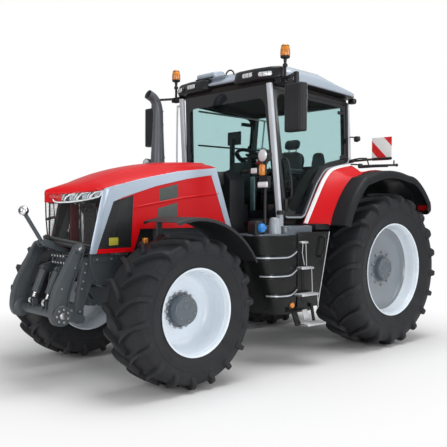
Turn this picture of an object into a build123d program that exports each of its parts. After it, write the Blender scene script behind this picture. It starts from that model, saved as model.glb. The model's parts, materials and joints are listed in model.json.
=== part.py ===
"""Farm tractor with four driven wheels, a rear three-point lift and a folding front lift.

Millimetres. X runs forward, Y to the left, Z up from the ground. Stations along X are
measured forward of the rear axle, and save() shifts every piece so that the origin lies
on the ground, midway along the tractor and between its wheels. The left side is
modelled, and save_pair() mirrors it to the right.
"""
import math
import os

from build123d import *

# ---- driving sizes --------------------------------------------------------------
WHEELBASE = 3050
REAR_AXLE_X = -1500  # where the rear axle stands in the written frame

REAR_TYRE_R = 925
REAR_TYRE_W = 670
REAR_SEAT_R = 540
REAR_TRACK_HALF = 950
FRONT_TYRE_R = 712
FRONT_TYRE_W = 570
FRONT_SEAT_R = 390
FRONT_TRACK_HALF = 915

FIT = 0.05  # radial clearance of a pin in its bore
SEAT = 0.3  # gap between pieces of two bodies that meet
RUN = 6.0  # side clearance between moving plates

# ---- helpers ---------------------------------------------------------------------


def save(piece, label, at=(0, 0, 0)):
    """Writes one piece, shifted from its own place and from stations to the frame."""
    placed = piece.part.moved(Location((at[0] + REAR_AXLE_X, at[1], at[2])))
    placed.label = label
    export_step(placed, f"parts/{label}.step")


def save_pair(piece, left_label, right_label, at=(0, 0, 0)):
    """Writes a left piece and its mirror image on the right."""
    save(piece, left_label, at)
    with BuildPart() as right:
        mirror(piece.part.moved(Location(at)), about=Plane.XZ)
    save(right, right_label)


def side_plane(y):
    """Upright plane at y whose local axes are X and Z; extruding goes toward -Y."""
    return Plane(origin=(0, y, 0), x_dir=(1, 0, 0), z_dir=(0, -1, 0))


def front_plane(x):
    """Upright plane at x whose local axes are Y and Z; extruding goes toward +X."""
    return Plane(origin=(x, 0, 0), x_dir=(0, 1, 0), z_dir=(1, 0, 0))


def side_plate(points, y_outer, thickness, mode=Mode.ADD):
    """Adds a flat plate with the outline points (x, z), from y_outer inward."""
    with BuildSketch(side_plane(y_outer)) as outline:
        with BuildLine():
            Polyline(*points, close=True)
        make_face()
    extrude(outline.sketch, amount=thickness, mode=mode)


def flat_plate(points, z_low, height, mode=Mode.ADD):
    """Adds a level slab with the plan outline points (x, y), from z_low up."""
    with BuildSketch(Plane.XY.offset(z_low)) as outline:
        with BuildLine():
            Polyline(*points, close=True)
        make_face()
    extrude(outline.sketch, amount=height, mode=mode)


def cross_plate(points, x_rear, length, mode=Mode.ADD):
    """Adds a block with the cross outline points (y, z), from x_rear forward."""
    with BuildSketch(front_plane(x_rear)) as outline:
        with BuildLine():
            Polyline(*points, close=True)
        make_face()
    extrude(outline.sketch, amount=length, mode=mode)


def block(x, y, z, mode=Mode.ADD):
    """Adds a box that spans the three ranges, each given in either order."""
    with Locations(((x[0] + x[1]) / 2, (y[0] + y[1]) / 2, (z[0] + z[1]) / 2)):
        Box(abs(x[1] - x[0]), abs(y[1] - y[0]), abs(z[1] - z[0]), mode=mode)


def bar(start, end, radius, mode=Mode.ADD, flats=0):
    """Adds a bar between two points: round, or with a number of flats."""
    run = Vector(*end) - Vector(*start)
    with BuildSketch(Plane(origin=start, z_dir=run)) as section:
        if flats:
            RegularPolygon(radius, flats)
        else:
            Circle(radius)
    extrude(section.sketch, amount=run.length, mode=mode)


def square_bar(start, end, width, depth, mode=Mode.ADD):
    """Adds a rectangular bar between two points; width lies level."""
    run = Vector(*end) - Vector(*start)
    level = Vector(-run.Y, run.X, 0) if abs(run.X) + abs(run.Y) > 1 else Vector(0, 1, 0)
    with BuildSketch(Plane(origin=start, x_dir=level, z_dir=run)) as section:
        Rectangle(width, depth)
    extrude(section.sketch, amount=run.length, mode=mode)


def cross_pin(x, y, z, radius, mode=Mode.ADD, flats=0):
    """Adds a pin or bore along Y over the range y: round, or with flats."""
    bar((x, y[0], z), (x, y[1], z), radius, mode, flats)


def facet_ring(profile, flats):
    """A wheel ring about Y: profile points are (offset along Y, radius), and the ring
    has the given number of flats, each a straight wedge between two radial planes."""
    half = math.pi / flats
    reach = 1.5 * max(radius for _, radius in profile)
    width = 1.5 * max(abs(offset) for offset, _ in profile)
    with BuildPart() as wedge:
        with BuildSketch(Plane(origin=(0, 0, 0), x_dir=(0, 1, 0), z_dir=(1, 0, 0))):
            with BuildLine():
                Polyline(*profile, close=True)
            make_face()
        extrude(amount=reach * math.tan(half), both=True)
        with BuildSketch(Plane.XZ):
            with BuildLine():
                Polyline(
                    (0, 0),
                    (reach * math.tan(half), reach),
                    (-reach * math.tan(half), reach),
                    close=True,
                )
            make_face()
        extrude(amount=width, both=True, mode=Mode.INTERSECT)
    with BuildPart() as whole:
        add([wedge.part.rotate(Axis.Y, 360 * turn / flats) for turn in range(flats)])
    return whole


# ---- wheels ----------------------------------------------------------------------
LUG_TOP_W = 54
RIM_LIP = 17  # the rim's lip stands this far above the tyre's seat
RIM_EDGE = 14
DISC_T = 16
HUB_FLATS = 18


def tyre(radius, width, bead, seat_r, flats, lugs, lug_h):
    """Tyre with a faceted carcass and slanted drive lugs, centred on its hub. Its beads
    stand at the offsets +-bead, on a seat of radius seat_r."""
    half = width / 2
    wall = radius - seat_r
    crown_r = radius - lug_h - 14
    profile = [
        (-bead, seat_r),
        (-bead, seat_r + 22),
        (-half, seat_r + 0.42 * wall),
        (-0.97 * half, radius - 0.27 * wall),
        (-0.80 * half, crown_r),
        (0.80 * half, crown_r),
        (0.97 * half, radius - 0.27 * wall),
        (half, seat_r + 0.42 * wall),
        (bead, seat_r + 22),
        (bead, seat_r),
    ]
    carcass = facet_ring(profile, flats)
    lug_root = crown_r - 46
    with BuildPart() as piece:
        add(carcass.part)
        for number in range(lugs):
            turn = 2 * math.pi * number / lugs
            outward = Vector(math.sin(turn), 0, math.cos(turn))
            forward = Vector(math.cos(turn), 0, -math.sin(turn))
            side = 1 if number % 2 == 0 else -1
            with BuildSketch(Plane(origin=outward * lug_root, x_dir=forward, z_dir=outward)):
                with BuildLine():
                    Polyline(
                        (0.12 * radius, -12 * side),
                        (-0.03 * radius, 0.97 * half * side),
                        (-0.03 * radius - LUG_TOP_W, 0.97 * half * side),
                        (0.12 * radius - LUG_TOP_W, -12 * side),
                        close=True,
                    )
                make_face()
        extrude(amount=radius - lug_root)
    return piece


def rim(seat_r, lip_offset, disc_offset, hub_r, flats):
    """Dished wheel rim with its disc, centred on its hub. Offsets run outward."""
    disc_r = seat_r - 62
    profile = [
        (-lip_offset, seat_r + RIM_LIP),
        (-lip_offset + RIM_EDGE, seat_r + RIM_LIP),
        (-lip_offset + RIM_EDGE, seat_r),
        (lip_offset - RIM_EDGE, seat_r),
        (lip_offset - RIM_EDGE, seat_r + RIM_LIP),
        (lip_offset, seat_r + RIM_LIP),
        (lip_offset, seat_r + RIM_LIP - RIM_EDGE),
        (lip_offset - 50, seat_r - 22),
        (disc_offset + 60, seat_r - 34),
        (disc_offset, disc_r),
        (disc_offset, hub_r - 12),
        (disc_offset - DISC_T, hub_r - 12),
        (disc_offset - DISC_T, disc_r - 10),
        (disc_offset - 50, seat_r - 34),
        (-lip_offset + 50, seat_r - 22),
        (-lip_offset, seat_r + RIM_LIP - RIM_EDGE),
    ]
    return facet_ring(profile, flats)


SPINDLE_R = 55


def hub(hub_r, disc_offset, face_offset, inner_offset):
    """Final-drive hub: a drum through the rim's disc, with a flange behind it and a
    blind bore for the spindle."""
    flange_r = hub_r + 32
    back = disc_offset - DISC_T
    profile = [
        (inner_offset, SPINDLE_R + FIT),
        (inner_offset, flange_r - 14),
        (back - 26, flange_r),
        (back, flange_r),
        (back, hub_r),
        (face_offset - 12, hub_r),
        (face_offset, hub_r - 14),
        (face_offset, 0),
        (face_offset - 30, 0),
        (face_offset - 30, SPINDLE_R + FIT),
    ]
    return facet_ring(profile, HUB_FLATS)


REAR_LIP = REAR_TYRE_W / 2 - 35
FRONT_LIP = FRONT_TYRE_W / 2 - 30
REAR_DISC = 100
FRONT_DISC = -15
REAR_HUB_R = 140
FRONT_HUB_R = 136
REAR_HUB_FACE = 178
FRONT_HUB_FACE = 98
REAR_HUB_BACK = 20
FRONT_HUB_BACK = -110

REAR_HUB_AT = (0, REAR_TRACK_HALF, REAR_TYRE_R)
FRONT_HUB_AT = (WHEELBASE, FRONT_TRACK_HALF, FRONT_TYRE_R)

REAR_FLATS = 28
FRONT_FLATS = 26

rear_tyre = tyre(
    REAR_TYRE_R,
    REAR_TYRE_W,
    REAR_LIP - RIM_EDGE - SEAT,
    REAR_SEAT_R + SEAT,
    REAR_FLATS,
    lugs=40,
    lug_h=45,
)
front_tyre = tyre(
    FRONT_TYRE_R,
    FRONT_TYRE_W,
    FRONT_LIP - RIM_EDGE - SEAT,
    FRONT_SEAT_R + SEAT,
    FRONT_FLATS,
    lugs=36,
    lug_h=42,
)
rear_disc = rim(REAR_SEAT_R, REAR_LIP, REAR_DISC, REAR_HUB_R, REAR_FLATS)
rear_drum = hub(REAR_HUB_R, REAR_DISC, REAR_HUB_FACE, REAR_HUB_BACK)
front_disc = rim(FRONT_SEAT_R, FRONT_LIP, FRONT_DISC, FRONT_HUB_R, FRONT_FLATS)
front_drum = hub(FRONT_HUB_R, FRONT_DISC, FRONT_HUB_FACE, FRONT_HUB_BACK)
with BuildPart() as rear_rim:
    add(rear_disc.part)
    add(rear_drum.part)
with BuildPart() as front_rim:
    add(front_disc.part)
    add(front_drum.part)

# ---- chassis -----------------------------------------------------------------------
ENGINE_HALF = 260
ENGINE_X = (1960, WHEELBASE - 170)
CASTING_X = (ENGINE_X[1], WHEELBASE + 530)
CASTING_HALF = 250
CASTING_Z = (900, 1180)
BEAM_HALF_X = 85
PIVOT_Z = FRONT_TYRE_R
BEAM_Z = (PIVOT_Z - 92, PIVOT_Z + 92)
KNUCKLE_Z = (PIVOT_Z - 72, PIVOT_Z + 78)
PIVOT_R = 45
LUG_GAP = 1.0

with BuildPart() as front_support:
    side_plate(
        [
            (CASTING_X[0], CASTING_Z[1]),
            (CASTING_X[1], CASTING_Z[1]),
            (CASTING_X[1], CASTING_Z[0] + 60),
            (CASTING_X[1] - 120, CASTING_Z[0]),
            (CASTING_X[0], CASTING_Z[0]),
        ],
        CASTING_HALF,
        2 * CASTING_HALF,
    )
    for x_near in (WHEELBASE + BEAM_HALF_X + LUG_GAP, WHEELBASE - BEAM_HALF_X - LUG_GAP - 70):
        cross_plate(
            [(-150, CASTING_Z[0]), (150, CASTING_Z[0]), (90, PIVOT_Z - 82), (-90, PIVOT_Z - 82)],
            x_near,
            70,
        )
    bar((WHEELBASE - 200, 0, PIVOT_Z), (WHEELBASE + 200, 0, PIVOT_Z), PIVOT_R + FIT, Mode.SUBTRACT)

with BuildPart() as engine:
    block(ENGINE_X, (-ENGINE_HALF, ENGINE_HALF), (860, 1700))
    block((ENGINE_X[0] + 60, ENGINE_X[1] - 180), (-190, 190), (700, 860))
    block((ENGINE_X[0] + 120, ENGINE_X[1] - 120), (-150, 150), (1700, 1830))

GEARBOX_X = (350, 1960)
AXLE_TUBE_R = 150
AXLE_BACK_X = -400
ROCK_AT = (-330, 1130)
ROCK_R = 40
FLANGE_Y = REAR_TRACK_HALF + REAR_HUB_BACK - LUG_GAP
SPINDLE_REACH = 55

with BuildPart() as transmission:
    side_plate(
        [
            (GEARBOX_X[0], 560),
            (1500, 560),
            (GEARBOX_X[1], 720),
            (GEARBOX_X[1], 1180),
            (1100, 1180),
            (GEARBOX_X[0], 1180),
        ],
        250,
        500,
    )

with BuildPart() as rear_axle:
    block((AXLE_BACK_X, 350), (-320, 320), (560, 1190))
    for side in (1, -1):
        y_flange = side * FLANGE_Y
        bar((0, side * 320, REAR_TYRE_R), (0, y_flange, REAR_TYRE_R), AXLE_TUBE_R, flats=20)
        bar(
            (0, y_flange, REAR_TYRE_R),
            (0, y_flange + side * SPINDLE_REACH, REAR_TYRE_R),
            SPINDLE_R,
        )
    cross_pin(ROCK_AT[0], (-330, 330), ROCK_AT[1], ROCK_R + FIT, Mode.SUBTRACT)

KING_PIN_Y = 640
KING_PIN_R = 28
EAR_T = 60
KNUCKLE_WEB_Y = 700
KNUCKLE_WEB_T = 60

with BuildPart() as front_axle:
    cross_plate(
        [
            (-330, BEAM_Z[1]),
            (330, BEAM_Z[1]),
            (560, KNUCKLE_Z[1]),
            (KING_PIN_Y, KNUCKLE_Z[1]),
            (KING_PIN_Y, KNUCKLE_Z[0]),
            (560, KNUCKLE_Z[0]),
            (260, BEAM_Z[0] - 20),
            (-260, BEAM_Z[0] - 20),
            (-560, KNUCKLE_Z[0]),
            (-KING_PIN_Y, KNUCKLE_Z[0]),
            (-KING_PIN_Y, KNUCKLE_Z[1]),
            (-560, KNUCKLE_Z[1]),
        ],
        WHEELBASE - BEAM_HALF_X,
        2 * BEAM_HALF_X,
    )
    with BuildSketch(Plane.XY.offset(KNUCKLE_Z[0])):
        for side in (1, -1):
            with Locations((WHEELBASE, side * KING_PIN_Y)):
                RegularPolygon(58, 20)
    extrude(amount=KNUCKLE_Z[1] - KNUCKLE_Z[0])
    for side in (1, -1):
        bar(
            (WHEELBASE, side * KING_PIN_Y, KNUCKLE_Z[0] - 140),
            (WHEELBASE, side * KING_PIN_Y, KNUCKLE_Z[1] + 110),
            KING_PIN_R + FIT,
            Mode.SUBTRACT,
        )
        for x_side in (1, -1):
            block(
                (WHEELBASE + x_side * 60, WHEELBASE + x_side * 100),
                (side * KING_PIN_Y - 80, side * KING_PIN_Y + 80),
                (KNUCKLE_Z[0] - 60, KNUCKLE_Z[1] + 70),
                Mode.SUBTRACT,
            )
    bar((WHEELBASE - 170, 0, PIVOT_Z), (WHEELBASE + 170, 0, PIVOT_Z), PIVOT_R)

# Knuckle: two ears over and under the beam's end, joined by a web outside it, which
# carries the spindle. A post up the tyre's inner side carries the mudguard.
EAR_LOW_Z = KNUCKLE_Z[0] - LUG_GAP
EAR_HIGH_Z = KNUCKLE_Z[1] + LUG_GAP
GUARD_R = 850
GUARD_T = 12
GUARD_Y = (690, 1200)
GUARD_FROM = 72
GUARD_TO = 150
POST_Y = (575, 597)


def guard_point(radius, angle):
    """A point on the front mudguard's arc, angle in degrees up from straight ahead."""
    turn = math.radians(angle)
    return (WHEELBASE + radius * math.cos(turn), FRONT_TYRE_R + radius * math.sin(turn))


with BuildPart() as knuckle:
    with BuildSketch(Plane.XY.offset(EAR_LOW_Z - EAR_T)) as ear:
        with Locations((WHEELBASE, KING_PIN_Y)):
            Circle(52)
        with Locations((WHEELBASE, (KING_PIN_Y + KNUCKLE_WEB_Y + KNUCKLE_WEB_T) / 2)):
            Rectangle(104, KNUCKLE_WEB_Y + KNUCKLE_WEB_T - KING_PIN_Y)
    extrude(ear.sketch, amount=EAR_T)
    extrude(ear.sketch.moved(Location((0, 0, EAR_HIGH_Z - EAR_LOW_Z + EAR_T))), amount=EAR_T)
    block(
        (WHEELBASE - 75, WHEELBASE + 75),
        (KNUCKLE_WEB_Y, KNUCKLE_WEB_Y + KNUCKLE_WEB_T),
        (EAR_LOW_Z - EAR_T, EAR_HIGH_Z + EAR_T),
    )
    bar(
        (WHEELBASE, KING_PIN_Y, EAR_LOW_Z - EAR_T),
        (WHEELBASE, KING_PIN_Y, EAR_HIGH_Z + EAR_T),
        KING_PIN_R,
    )
    bar(
        (WHEELBASE, KNUCKLE_WEB_Y, FRONT_TYRE_R),
        (WHEELBASE, FRONT_TRACK_HALF + FRONT_HUB_FACE - 34, FRONT_TYRE_R),
        SPINDLE_R,
    )
    block(
        (WHEELBASE - 30, WHEELBASE + 30),
        (POST_Y[0], KING_PIN_Y + 40),
        (EAR_HIGH_Z + EAR_T, EAR_HIGH_Z + EAR_T + 22),
    )
    block(
        (WHEELBASE - 30, WHEELBASE + 30),
        POST_Y,
        (EAR_HIGH_Z + EAR_T, FRONT_TYRE_R + GUARD_R - 40),
    )
    block(
        (WHEELBASE - 30, WHEELBASE + 30),
        (POST_Y[0], 1050),
        (FRONT_TYRE_R + GUARD_R - 40, FRONT_TYRE_R + GUARD_R - 22),
    )

with BuildPart() as front_guard:
    with BuildSketch(side_plane(GUARD_Y[1])) as arc_band:
        with BuildLine():
            ThreePointArc(
                guard_point(GUARD_R, GUARD_FROM),
                guard_point(GUARD_R, (GUARD_FROM + GUARD_TO) / 2),
                guard_point(GUARD_R, GUARD_TO),
            )
            Line(guard_point(GUARD_R, GUARD_TO), guard_point(GUARD_R + GUARD_T, GUARD_TO))
            ThreePointArc(
                guard_point(GUARD_R + GUARD_T, GUARD_TO),
                guard_point(GUARD_R + GUARD_T, (GUARD_FROM + GUARD_TO) / 2),
                guard_point(GUARD_R + GUARD_T, GUARD_FROM),
            )
            Line(guard_point(GUARD_R + GUARD_T, GUARD_FROM), guard_point(GUARD_R, GUARD_FROM))
        make_face()
    extrude(arc_band.sketch, amount=GUARD_Y[1] - GUARD_Y[0])
    block(
        (WHEELBASE - 30, WHEELBASE + 30),
        (760, 1020),
        (FRONT_TYRE_R + GUARD_R - 22, FRONT_TYRE_R + GUARD_R + 4),
    )

# ---- cab ------------------------------------------------------------------------------
# The cab's side lies in one plane that leans inward and narrows toward the front.
CAB_TAPER = 0.05
CAB_LEAN = 0.065
CAB_Y = 800
A_FOOT = (1530, 1540)
A_TOP = (1660, 3020)
C_TOP = (335, 2950)
C_FOOT = (365, 2190)
FENDER_CORNERS = [(800, 2100), (960, 1930), (1200, 1540)]
POST_W = 62
POST_T = 56


def cab_side_y(x, z):
    """How far out the cab's side plane lies at a station and height."""
    return CAB_Y + CAB_TAPER * (A_FOOT[0] - x) - CAB_LEAN * (z - A_FOOT[1])


CAB_NORMAL = Vector(CAB_TAPER, 1, CAB_LEAN).normalized()
CAB_SIDE = Plane(
    origin=(A_FOOT[0], CAB_Y, A_FOOT[1]), x_dir=(1, -CAB_TAPER, 0), z_dir=CAB_NORMAL
)


def on_cab_side(points):
    """Stations and heights as local points of the cab's side plane."""
    return [
        (local.X, local.Y)
        for local in (
            CAB_SIDE.to_local_coords(Vector(x, cab_side_y(x, z), z)) for x, z in points
        )
    ]


SIDE_OUTLINE = [A_FOOT, A_TOP, C_TOP, C_FOOT, *FENDER_CORNERS]


def cab_side_ring(inset, width, low, high):
    """Adds a ring that follows the cab's side outline, inset from it, between two
    distances out from the side plane; width None fills the ring."""
    with BuildSketch(CAB_SIDE.offset(low)) as ring_face:
        with BuildLine() as outer_line:
            Polyline(*on_cab_side(SIDE_OUTLINE), close=True)
        make_face()
        if inset:
            offset(amount=-inset, kind=Kind.INTERSECTION, mode=Mode.REPLACE)
        if width:
            offset(amount=-width, kind=Kind.INTERSECTION, mode=Mode.SUBTRACT)
    extrude(ring_face.sketch, amount=high - low)


DOOR_INSET = 14
DOOR_W = 34
DOOR_T = 26
GLASS_T = 6

with BuildPart() as cab_frame:
    cab_side_ring(0, POST_W, -POST_T, 0)
    mirror(about=Plane.XZ)
    y_front_low = cab_side_y(*A_FOOT) - POST_T + 4
    y_front_top = cab_side_y(*A_TOP) - POST_T + 4
    block((A_FOOT[0] - 66, A_FOOT[0] - 6), (-y_front_low, y_front_low), (1540, 1600))
    block((A_TOP[0] - 74, A_TOP[0] - 16), (-y_front_top, y_front_top), (2958, 3016))
    y_rear = cab_side_y(*C_TOP) - POST_T + 4
    block((C_TOP[0] + 2, C_TOP[0] + 60), (-y_rear, y_rear), (2890, 2948))
    y_rear_low = cab_side_y(*C_FOOT) - POST_T + 4
    block((C_FOOT[0] + 2, C_FOOT[0] + 60), (-y_rear_low, y_rear_low), (2130, 2188))

with BuildPart() as door_frame:
    cab_side_ring(DOOR_INSET, DOOR_W, SEAT, DOOR_T)

with BuildPart() as door_glass:
    cab_side_ring(DOOR_INSET + DOOR_W, None, SEAT + 10, SEAT + 10 + GLASS_T)

with BuildPart() as side_glass:
    cab_side_ring(DOOR_INSET, None, SEAT, SEAT + GLASS_T)

A_SLOPE = (A_TOP[0] - A_FOOT[0]) / (A_TOP[1] - A_FOOT[1])
WINDSHIELD = Plane(
    origin=(A_FOOT[0] + SEAT, 0, A_FOOT[1]), x_dir=(0, 1, 0), z_dir=(1, 0, -A_SLOPE)
)
with BuildPart() as windshield:
    rise = math.hypot(A_TOP[1] - A_FOOT[1], A_TOP[0] - A_FOOT[0])
    with BuildSketch(WINDSHIELD):
        with BuildLine():
            Polyline(
                (-CAB_Y + 4, 8),
                (CAB_Y - 4, 8),
                (cab_side_y(*A_TOP) - 4, rise - 8),
                (-cab_side_y(*A_TOP) + 4, rise - 8),
                close=True,
            )
        make_face()
    extrude(amount=GLASS_T)

C_SLOPE = (C_TOP[0] - C_FOOT[0]) / (C_TOP[1] - C_FOOT[1])
REAR_PLANE = Plane(
    origin=(C_FOOT[0] - SEAT - CAB_TAPER * POST_T, 0, C_FOOT[1]),
    x_dir=(0, -1, 0),
    z_dir=(-1, 0, C_SLOPE),
)
with BuildPart() as cab_glass:
    rise = math.hypot(C_TOP[1] - C_FOOT[1], C_TOP[0] - C_FOOT[0])
    with BuildSketch(REAR_PLANE):
        with BuildLine():
            Polyline(
                (-cab_side_y(*C_FOOT) + 4, 4),
                (cab_side_y(*C_FOOT) - 4, 4),
                (cab_side_y(*C_TOP) - 4, rise - 4),
                (-cab_side_y(*C_TOP) + 4, rise - 4),
                close=True,
            )
        make_face()
    extrude(amount=GLASS_T)
    mirror(side_glass.part, about=Plane.XZ)
    add(windshield.part)

WALL_Y = 575  # outer face of the cab's lower walls, inboard of the rear tyres
FLOOR_Z = 1480

with BuildPart() as cab_floor:
    flat_plate(
        [
            (380, -WALL_Y + SEAT),
            (380, WALL_Y - SEAT),
            (1215, WALL_Y - SEAT),
            (1215, CAB_Y - 60),
            (1525, CAB_Y - 60),
            (1525, -CAB_Y + 60),
            (1215, -CAB_Y + 60),
            (1215, -WALL_Y + SEAT),
        ],
        FLOOR_Z,
        60,
    )
    block((366, 380), (-WALL_Y + SEAT, WALL_Y - SEAT), (FLOOR_Z - 60, 2130 - SEAT))
    block((500, 1500), (-180, 180), (1180, FLOOR_Z))
    for x_mount in (420, 1380):
        for side in (1, -1):
            block(
                (x_mount, x_mount + 110),
                (side * 250, side * 430),
                (1320, FLOOR_Z),
            )

# ---- rear fenders ------------------------------------------------------------------------
FENDER_T = 12
# The arch's outer skin, front to rear: (distance over the tyre, degrees up from ahead).
ARCH = [
    (214, 28.6), (248, 37.6), (318, 58.5), (303, 62.9), (283, 70.7), (247, 99.8),
    (264, 111.7), (213, 130.5), (189, 134.9), (131, 138.1), (62, 137.7),
]
ARCH_OUTER = [
    (
        (REAR_TYRE_R + over) * math.cos(math.radians(angle)),
        REAR_TYRE_R + (REAR_TYRE_R + over) * math.sin(math.radians(angle)),
    )
    for over, angle in ARCH
]
EXT_Y = (1052, 1275)
FENDER_Y = (WALL_Y, 1052 - SEAT)


def arch_strip(points, thickness):
    """A strip's closed outline: the points, then the line that runs beside them at the
    thickness, on the left hand, with mitred corners."""
    inner = []
    for x, z in points:
        turns = []
        for (x0, z0), (x1, z1) in zip(points[:-1], points[1:]):
            if (x, z) in ((x0, z0), (x1, z1)):
                length = math.dist((x0, z0), (x1, z1))
                turns.append((-(z1 - z0) / length, (x1 - x0) / length))
        across_x = sum(turn[0] for turn in turns) / len(turns)
        across_z = sum(turn[1] for turn in turns) / len(turns)
        grow = thickness / (across_x**2 + across_z**2)
        inner.append((x + across_x * grow, z + across_z * grow))
    return [*points, *reversed(inner)]


QUARTER_INNER = [(1238, 1475), (1184, 1556), (944, 1938), (789, 2102), (400, 2184)]
QUARTER_OUTER = ARCH_OUTER[:5]

with BuildPart() as fender:
    side_plate(arch_strip(ARCH_OUTER, FENDER_T), FENDER_Y[1], FENDER_Y[1] - 846)
    with BuildSketch(side_plane(FENDER_Y[1])) as outer_strip:
        with BuildLine():
            Polyline(*arch_strip(QUARTER_OUTER, FENDER_T), close=True)
        make_face()
    with BuildSketch(side_plane(848)) as inner_strip:
        with BuildLine():
            Polyline(*arch_strip(QUARTER_INNER, FENDER_T), close=True)
        make_face()
    side_plate(arch_strip(ARCH_OUTER[4:], FENDER_T), 850, 850 - WALL_Y)
    loft([outer_strip.sketch, inner_strip.sketch], ruled=True)
    side_plate(
        [(1214, 1420), (1214, 1560), (960, 1900), (800, 2065), (330, 2120), (-200, 2068),
         (-430, 2020), (-560, 1800), (-300, 1420)],
        WALL_Y + FENDER_T,
        FENDER_T,
    )

with BuildPart() as fender_extension:
    side_plate(arch_strip(ARCH_OUTER, 14), EXT_Y[1], EXT_Y[1] - EXT_Y[0])
    side_plate(arch_strip(ARCH_OUTER, 44), EXT_Y[1], 14)

# ---- roof and what it carries ---------------------------------------------------------------
ROOF_HALF = 890
ROOF_PLAN = [(215, 780), (330, ROOF_HALF), (1500, ROOF_HALF - 10), (1620, 800), (1705, 600)]
ROOF_LOW = [(250, 2985), (1600, 3062), (1700, 3105)]
ROOF_SIDE = [(235, 3030), *ROOF_LOW, (1680, 3190), (1480, 3262), (900, 3250), (320, 3095)]


def roof_low_z(x):
    """Height of the roof's underside at a station."""
    for (x0, z0), (x1, z1) in zip(ROOF_LOW, ROOF_LOW[1:]):
        if x <= x1:
            return z0 + (x - x0) * (z1 - z0) / (x1 - x0)
    return ROOF_LOW[-1][1]


RECEIVER_Y = (-471, 11)

with BuildPart() as roof:
    side_plate(ROOF_SIDE, ROOF_HALF, 2 * ROOF_HALF)
    flat_plate(
        [*ROOF_PLAN, *[(x, -y) for x, y in reversed(ROOF_PLAN)]], 2900, 500, Mode.INTERSECT
    )
    # The positioning receiver stands on the roof's front, right of the middle.
    side_plate(
        [(1420, 3240), (1420, 3290), (1560, 3300), (1690, 3268), (1700, 3222), (1600, 3160)],
        RECEIVER_Y[1],
        RECEIVER_Y[1] - RECEIVER_Y[0],
    )

CEILING_HALF = 735


def cab_top_z(x):
    """Height of the cab frame's top edge at a station."""
    return C_TOP[1] + (x - C_TOP[0]) * (A_TOP[1] - C_TOP[1]) / (A_TOP[0] - C_TOP[0])


with BuildPart() as cab_ceiling:
    side_plate(
        [
            (300, cab_top_z(300) + SEAT),
            (1640, cab_top_z(1640) + SEAT),
            (1640, roof_low_z(1640)),
            (1600, roof_low_z(1600)),
            (300, roof_low_z(300)),
        ],
        CEILING_HALF,
        2 * CEILING_HALF,
    )

with BuildPart() as roof_pods:
    # One black pod over each front corner, cut to seat on the roof's nose.
    side_plate([(1560, 3066), (1740, 3066), (1772, 3096), (1762, 3152), (1640, 3196)], 880, 640)
    flat_plate([(1500, 240), (1790, 240), (1790, 560), (1700, 800), (1610, 880), (1500, 880)],
               3000, 300, Mode.INTERSECT)
    add(roof.part, mode=Mode.SUBTRACT)
    add(cab_ceiling.part, mode=Mode.SUBTRACT)
    block((258, 322), (800, 884), (2925, 2985))
    mirror(about=Plane.XZ)

BEACON_AT = (1637, 926)
BEACON_R = 57
BEACON_Z = (3310, 3450)
with BuildPart() as beacons:
    for side in (1, -1):
        with BuildSketch(Plane.XY.offset(BEACON_Z[0])) as lens:
            with Locations((BEACON_AT[0], side * BEACON_AT[1])):
                RegularPolygon(BEACON_R, 16)
        extrude(lens.sketch, amount=BEACON_Z[1] - BEACON_Z[0])

MIRROR_AT = (1787, 1209, 2687)
MIRROR_SIZE = (110, 250, 490)
with BuildPart() as mirrors:
    for side in (1, -1):
        with Locations((MIRROR_AT[0], side * MIRROR_AT[1], MIRROR_AT[2])):
            Box(*MIRROR_SIZE)
    fillet(mirrors.edges().filter_by(Axis.Z), 40)

ARM_Z = (3026, 3052)
with BuildPart() as roof_brackets:
    # Feet under the roof's front corners carry the beacon posts and the mirror arms.
    side_plate(
        [
            (1440, roof_low_z(1440) - SEAT),
            (1600, roof_low_z(1600) - SEAT),
            (1600, ARM_Z[0]),
            (1440, ARM_Z[0]),
        ],
        880,
        140,
    )
    block((1560, 1665), (860, 952), ARM_Z)
    bar((*BEACON_AT, ARM_Z[1] - 10), (*BEACON_AT, BEACON_Z[0] - SEAT), 15, flats=10)
    arm_z = (ARM_Z[0] + ARM_Z[1]) / 2
    square_bar((1640, 930, arm_z), (MIRROR_AT[0] - 10, MIRROR_AT[1], arm_z), 40, 24)
    block(
        (MIRROR_AT[0] - 25, MIRROR_AT[0] + 15),
        (MIRROR_AT[1] - 20, MIRROR_AT[1] + 20),
        (MIRROR_AT[2] + MIRROR_SIZE[2] / 2 + SEAT, ARM_Z[1]),
    )
    mirror(about=Plane.XZ)

# Lamp posts rise from the tanks' front corners to the height of the hood.
LAMP_POST = (2010, 1000)
TANK_Z = (690, 1370)
POST_LAMP_Z = 2195
with BuildPart() as lamp_posts:
    for side in (1, -1):
        y_post = side * LAMP_POST[1]
        bar((LAMP_POST[0], y_post, TANK_Z[1] + SEAT), (LAMP_POST[0], y_post, 2140), 14, flats=10)
        block(
            (LAMP_POST[0] - 20, LAMP_POST[0] + 30), (y_post - 60, y_post + 60), (1930, 1985)
        )
        bar(
            (LAMP_POST[0] - 30, y_post, POST_LAMP_Z),
            (LAMP_POST[0] + 20, y_post, POST_LAMP_Z),
            66,
            flats=18,
        )

with BuildPart() as post_lamps:
    for side in (1, -1):
        y_post = side * LAMP_POST[1]
        bar(
            (LAMP_POST[0] + 20, y_post, POST_LAMP_Z),
            (LAMP_POST[0] + 42, y_post, POST_LAMP_Z),
            60,
            flats=18,
        )
        block((LAMP_POST[0] + 16, LAMP_POST[0] + 60), (y_post - 70, y_post + 70),
              (1865, 1930 - SEAT))

with BuildPart() as indicators:
    for side in (1, -1):
        y_post = side * LAMP_POST[1]
        block((LAMP_POST[0] + 16, LAMP_POST[0] + 66), (y_post - 34, y_post + 34),
              (1985 + SEAT, 2110))

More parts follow.
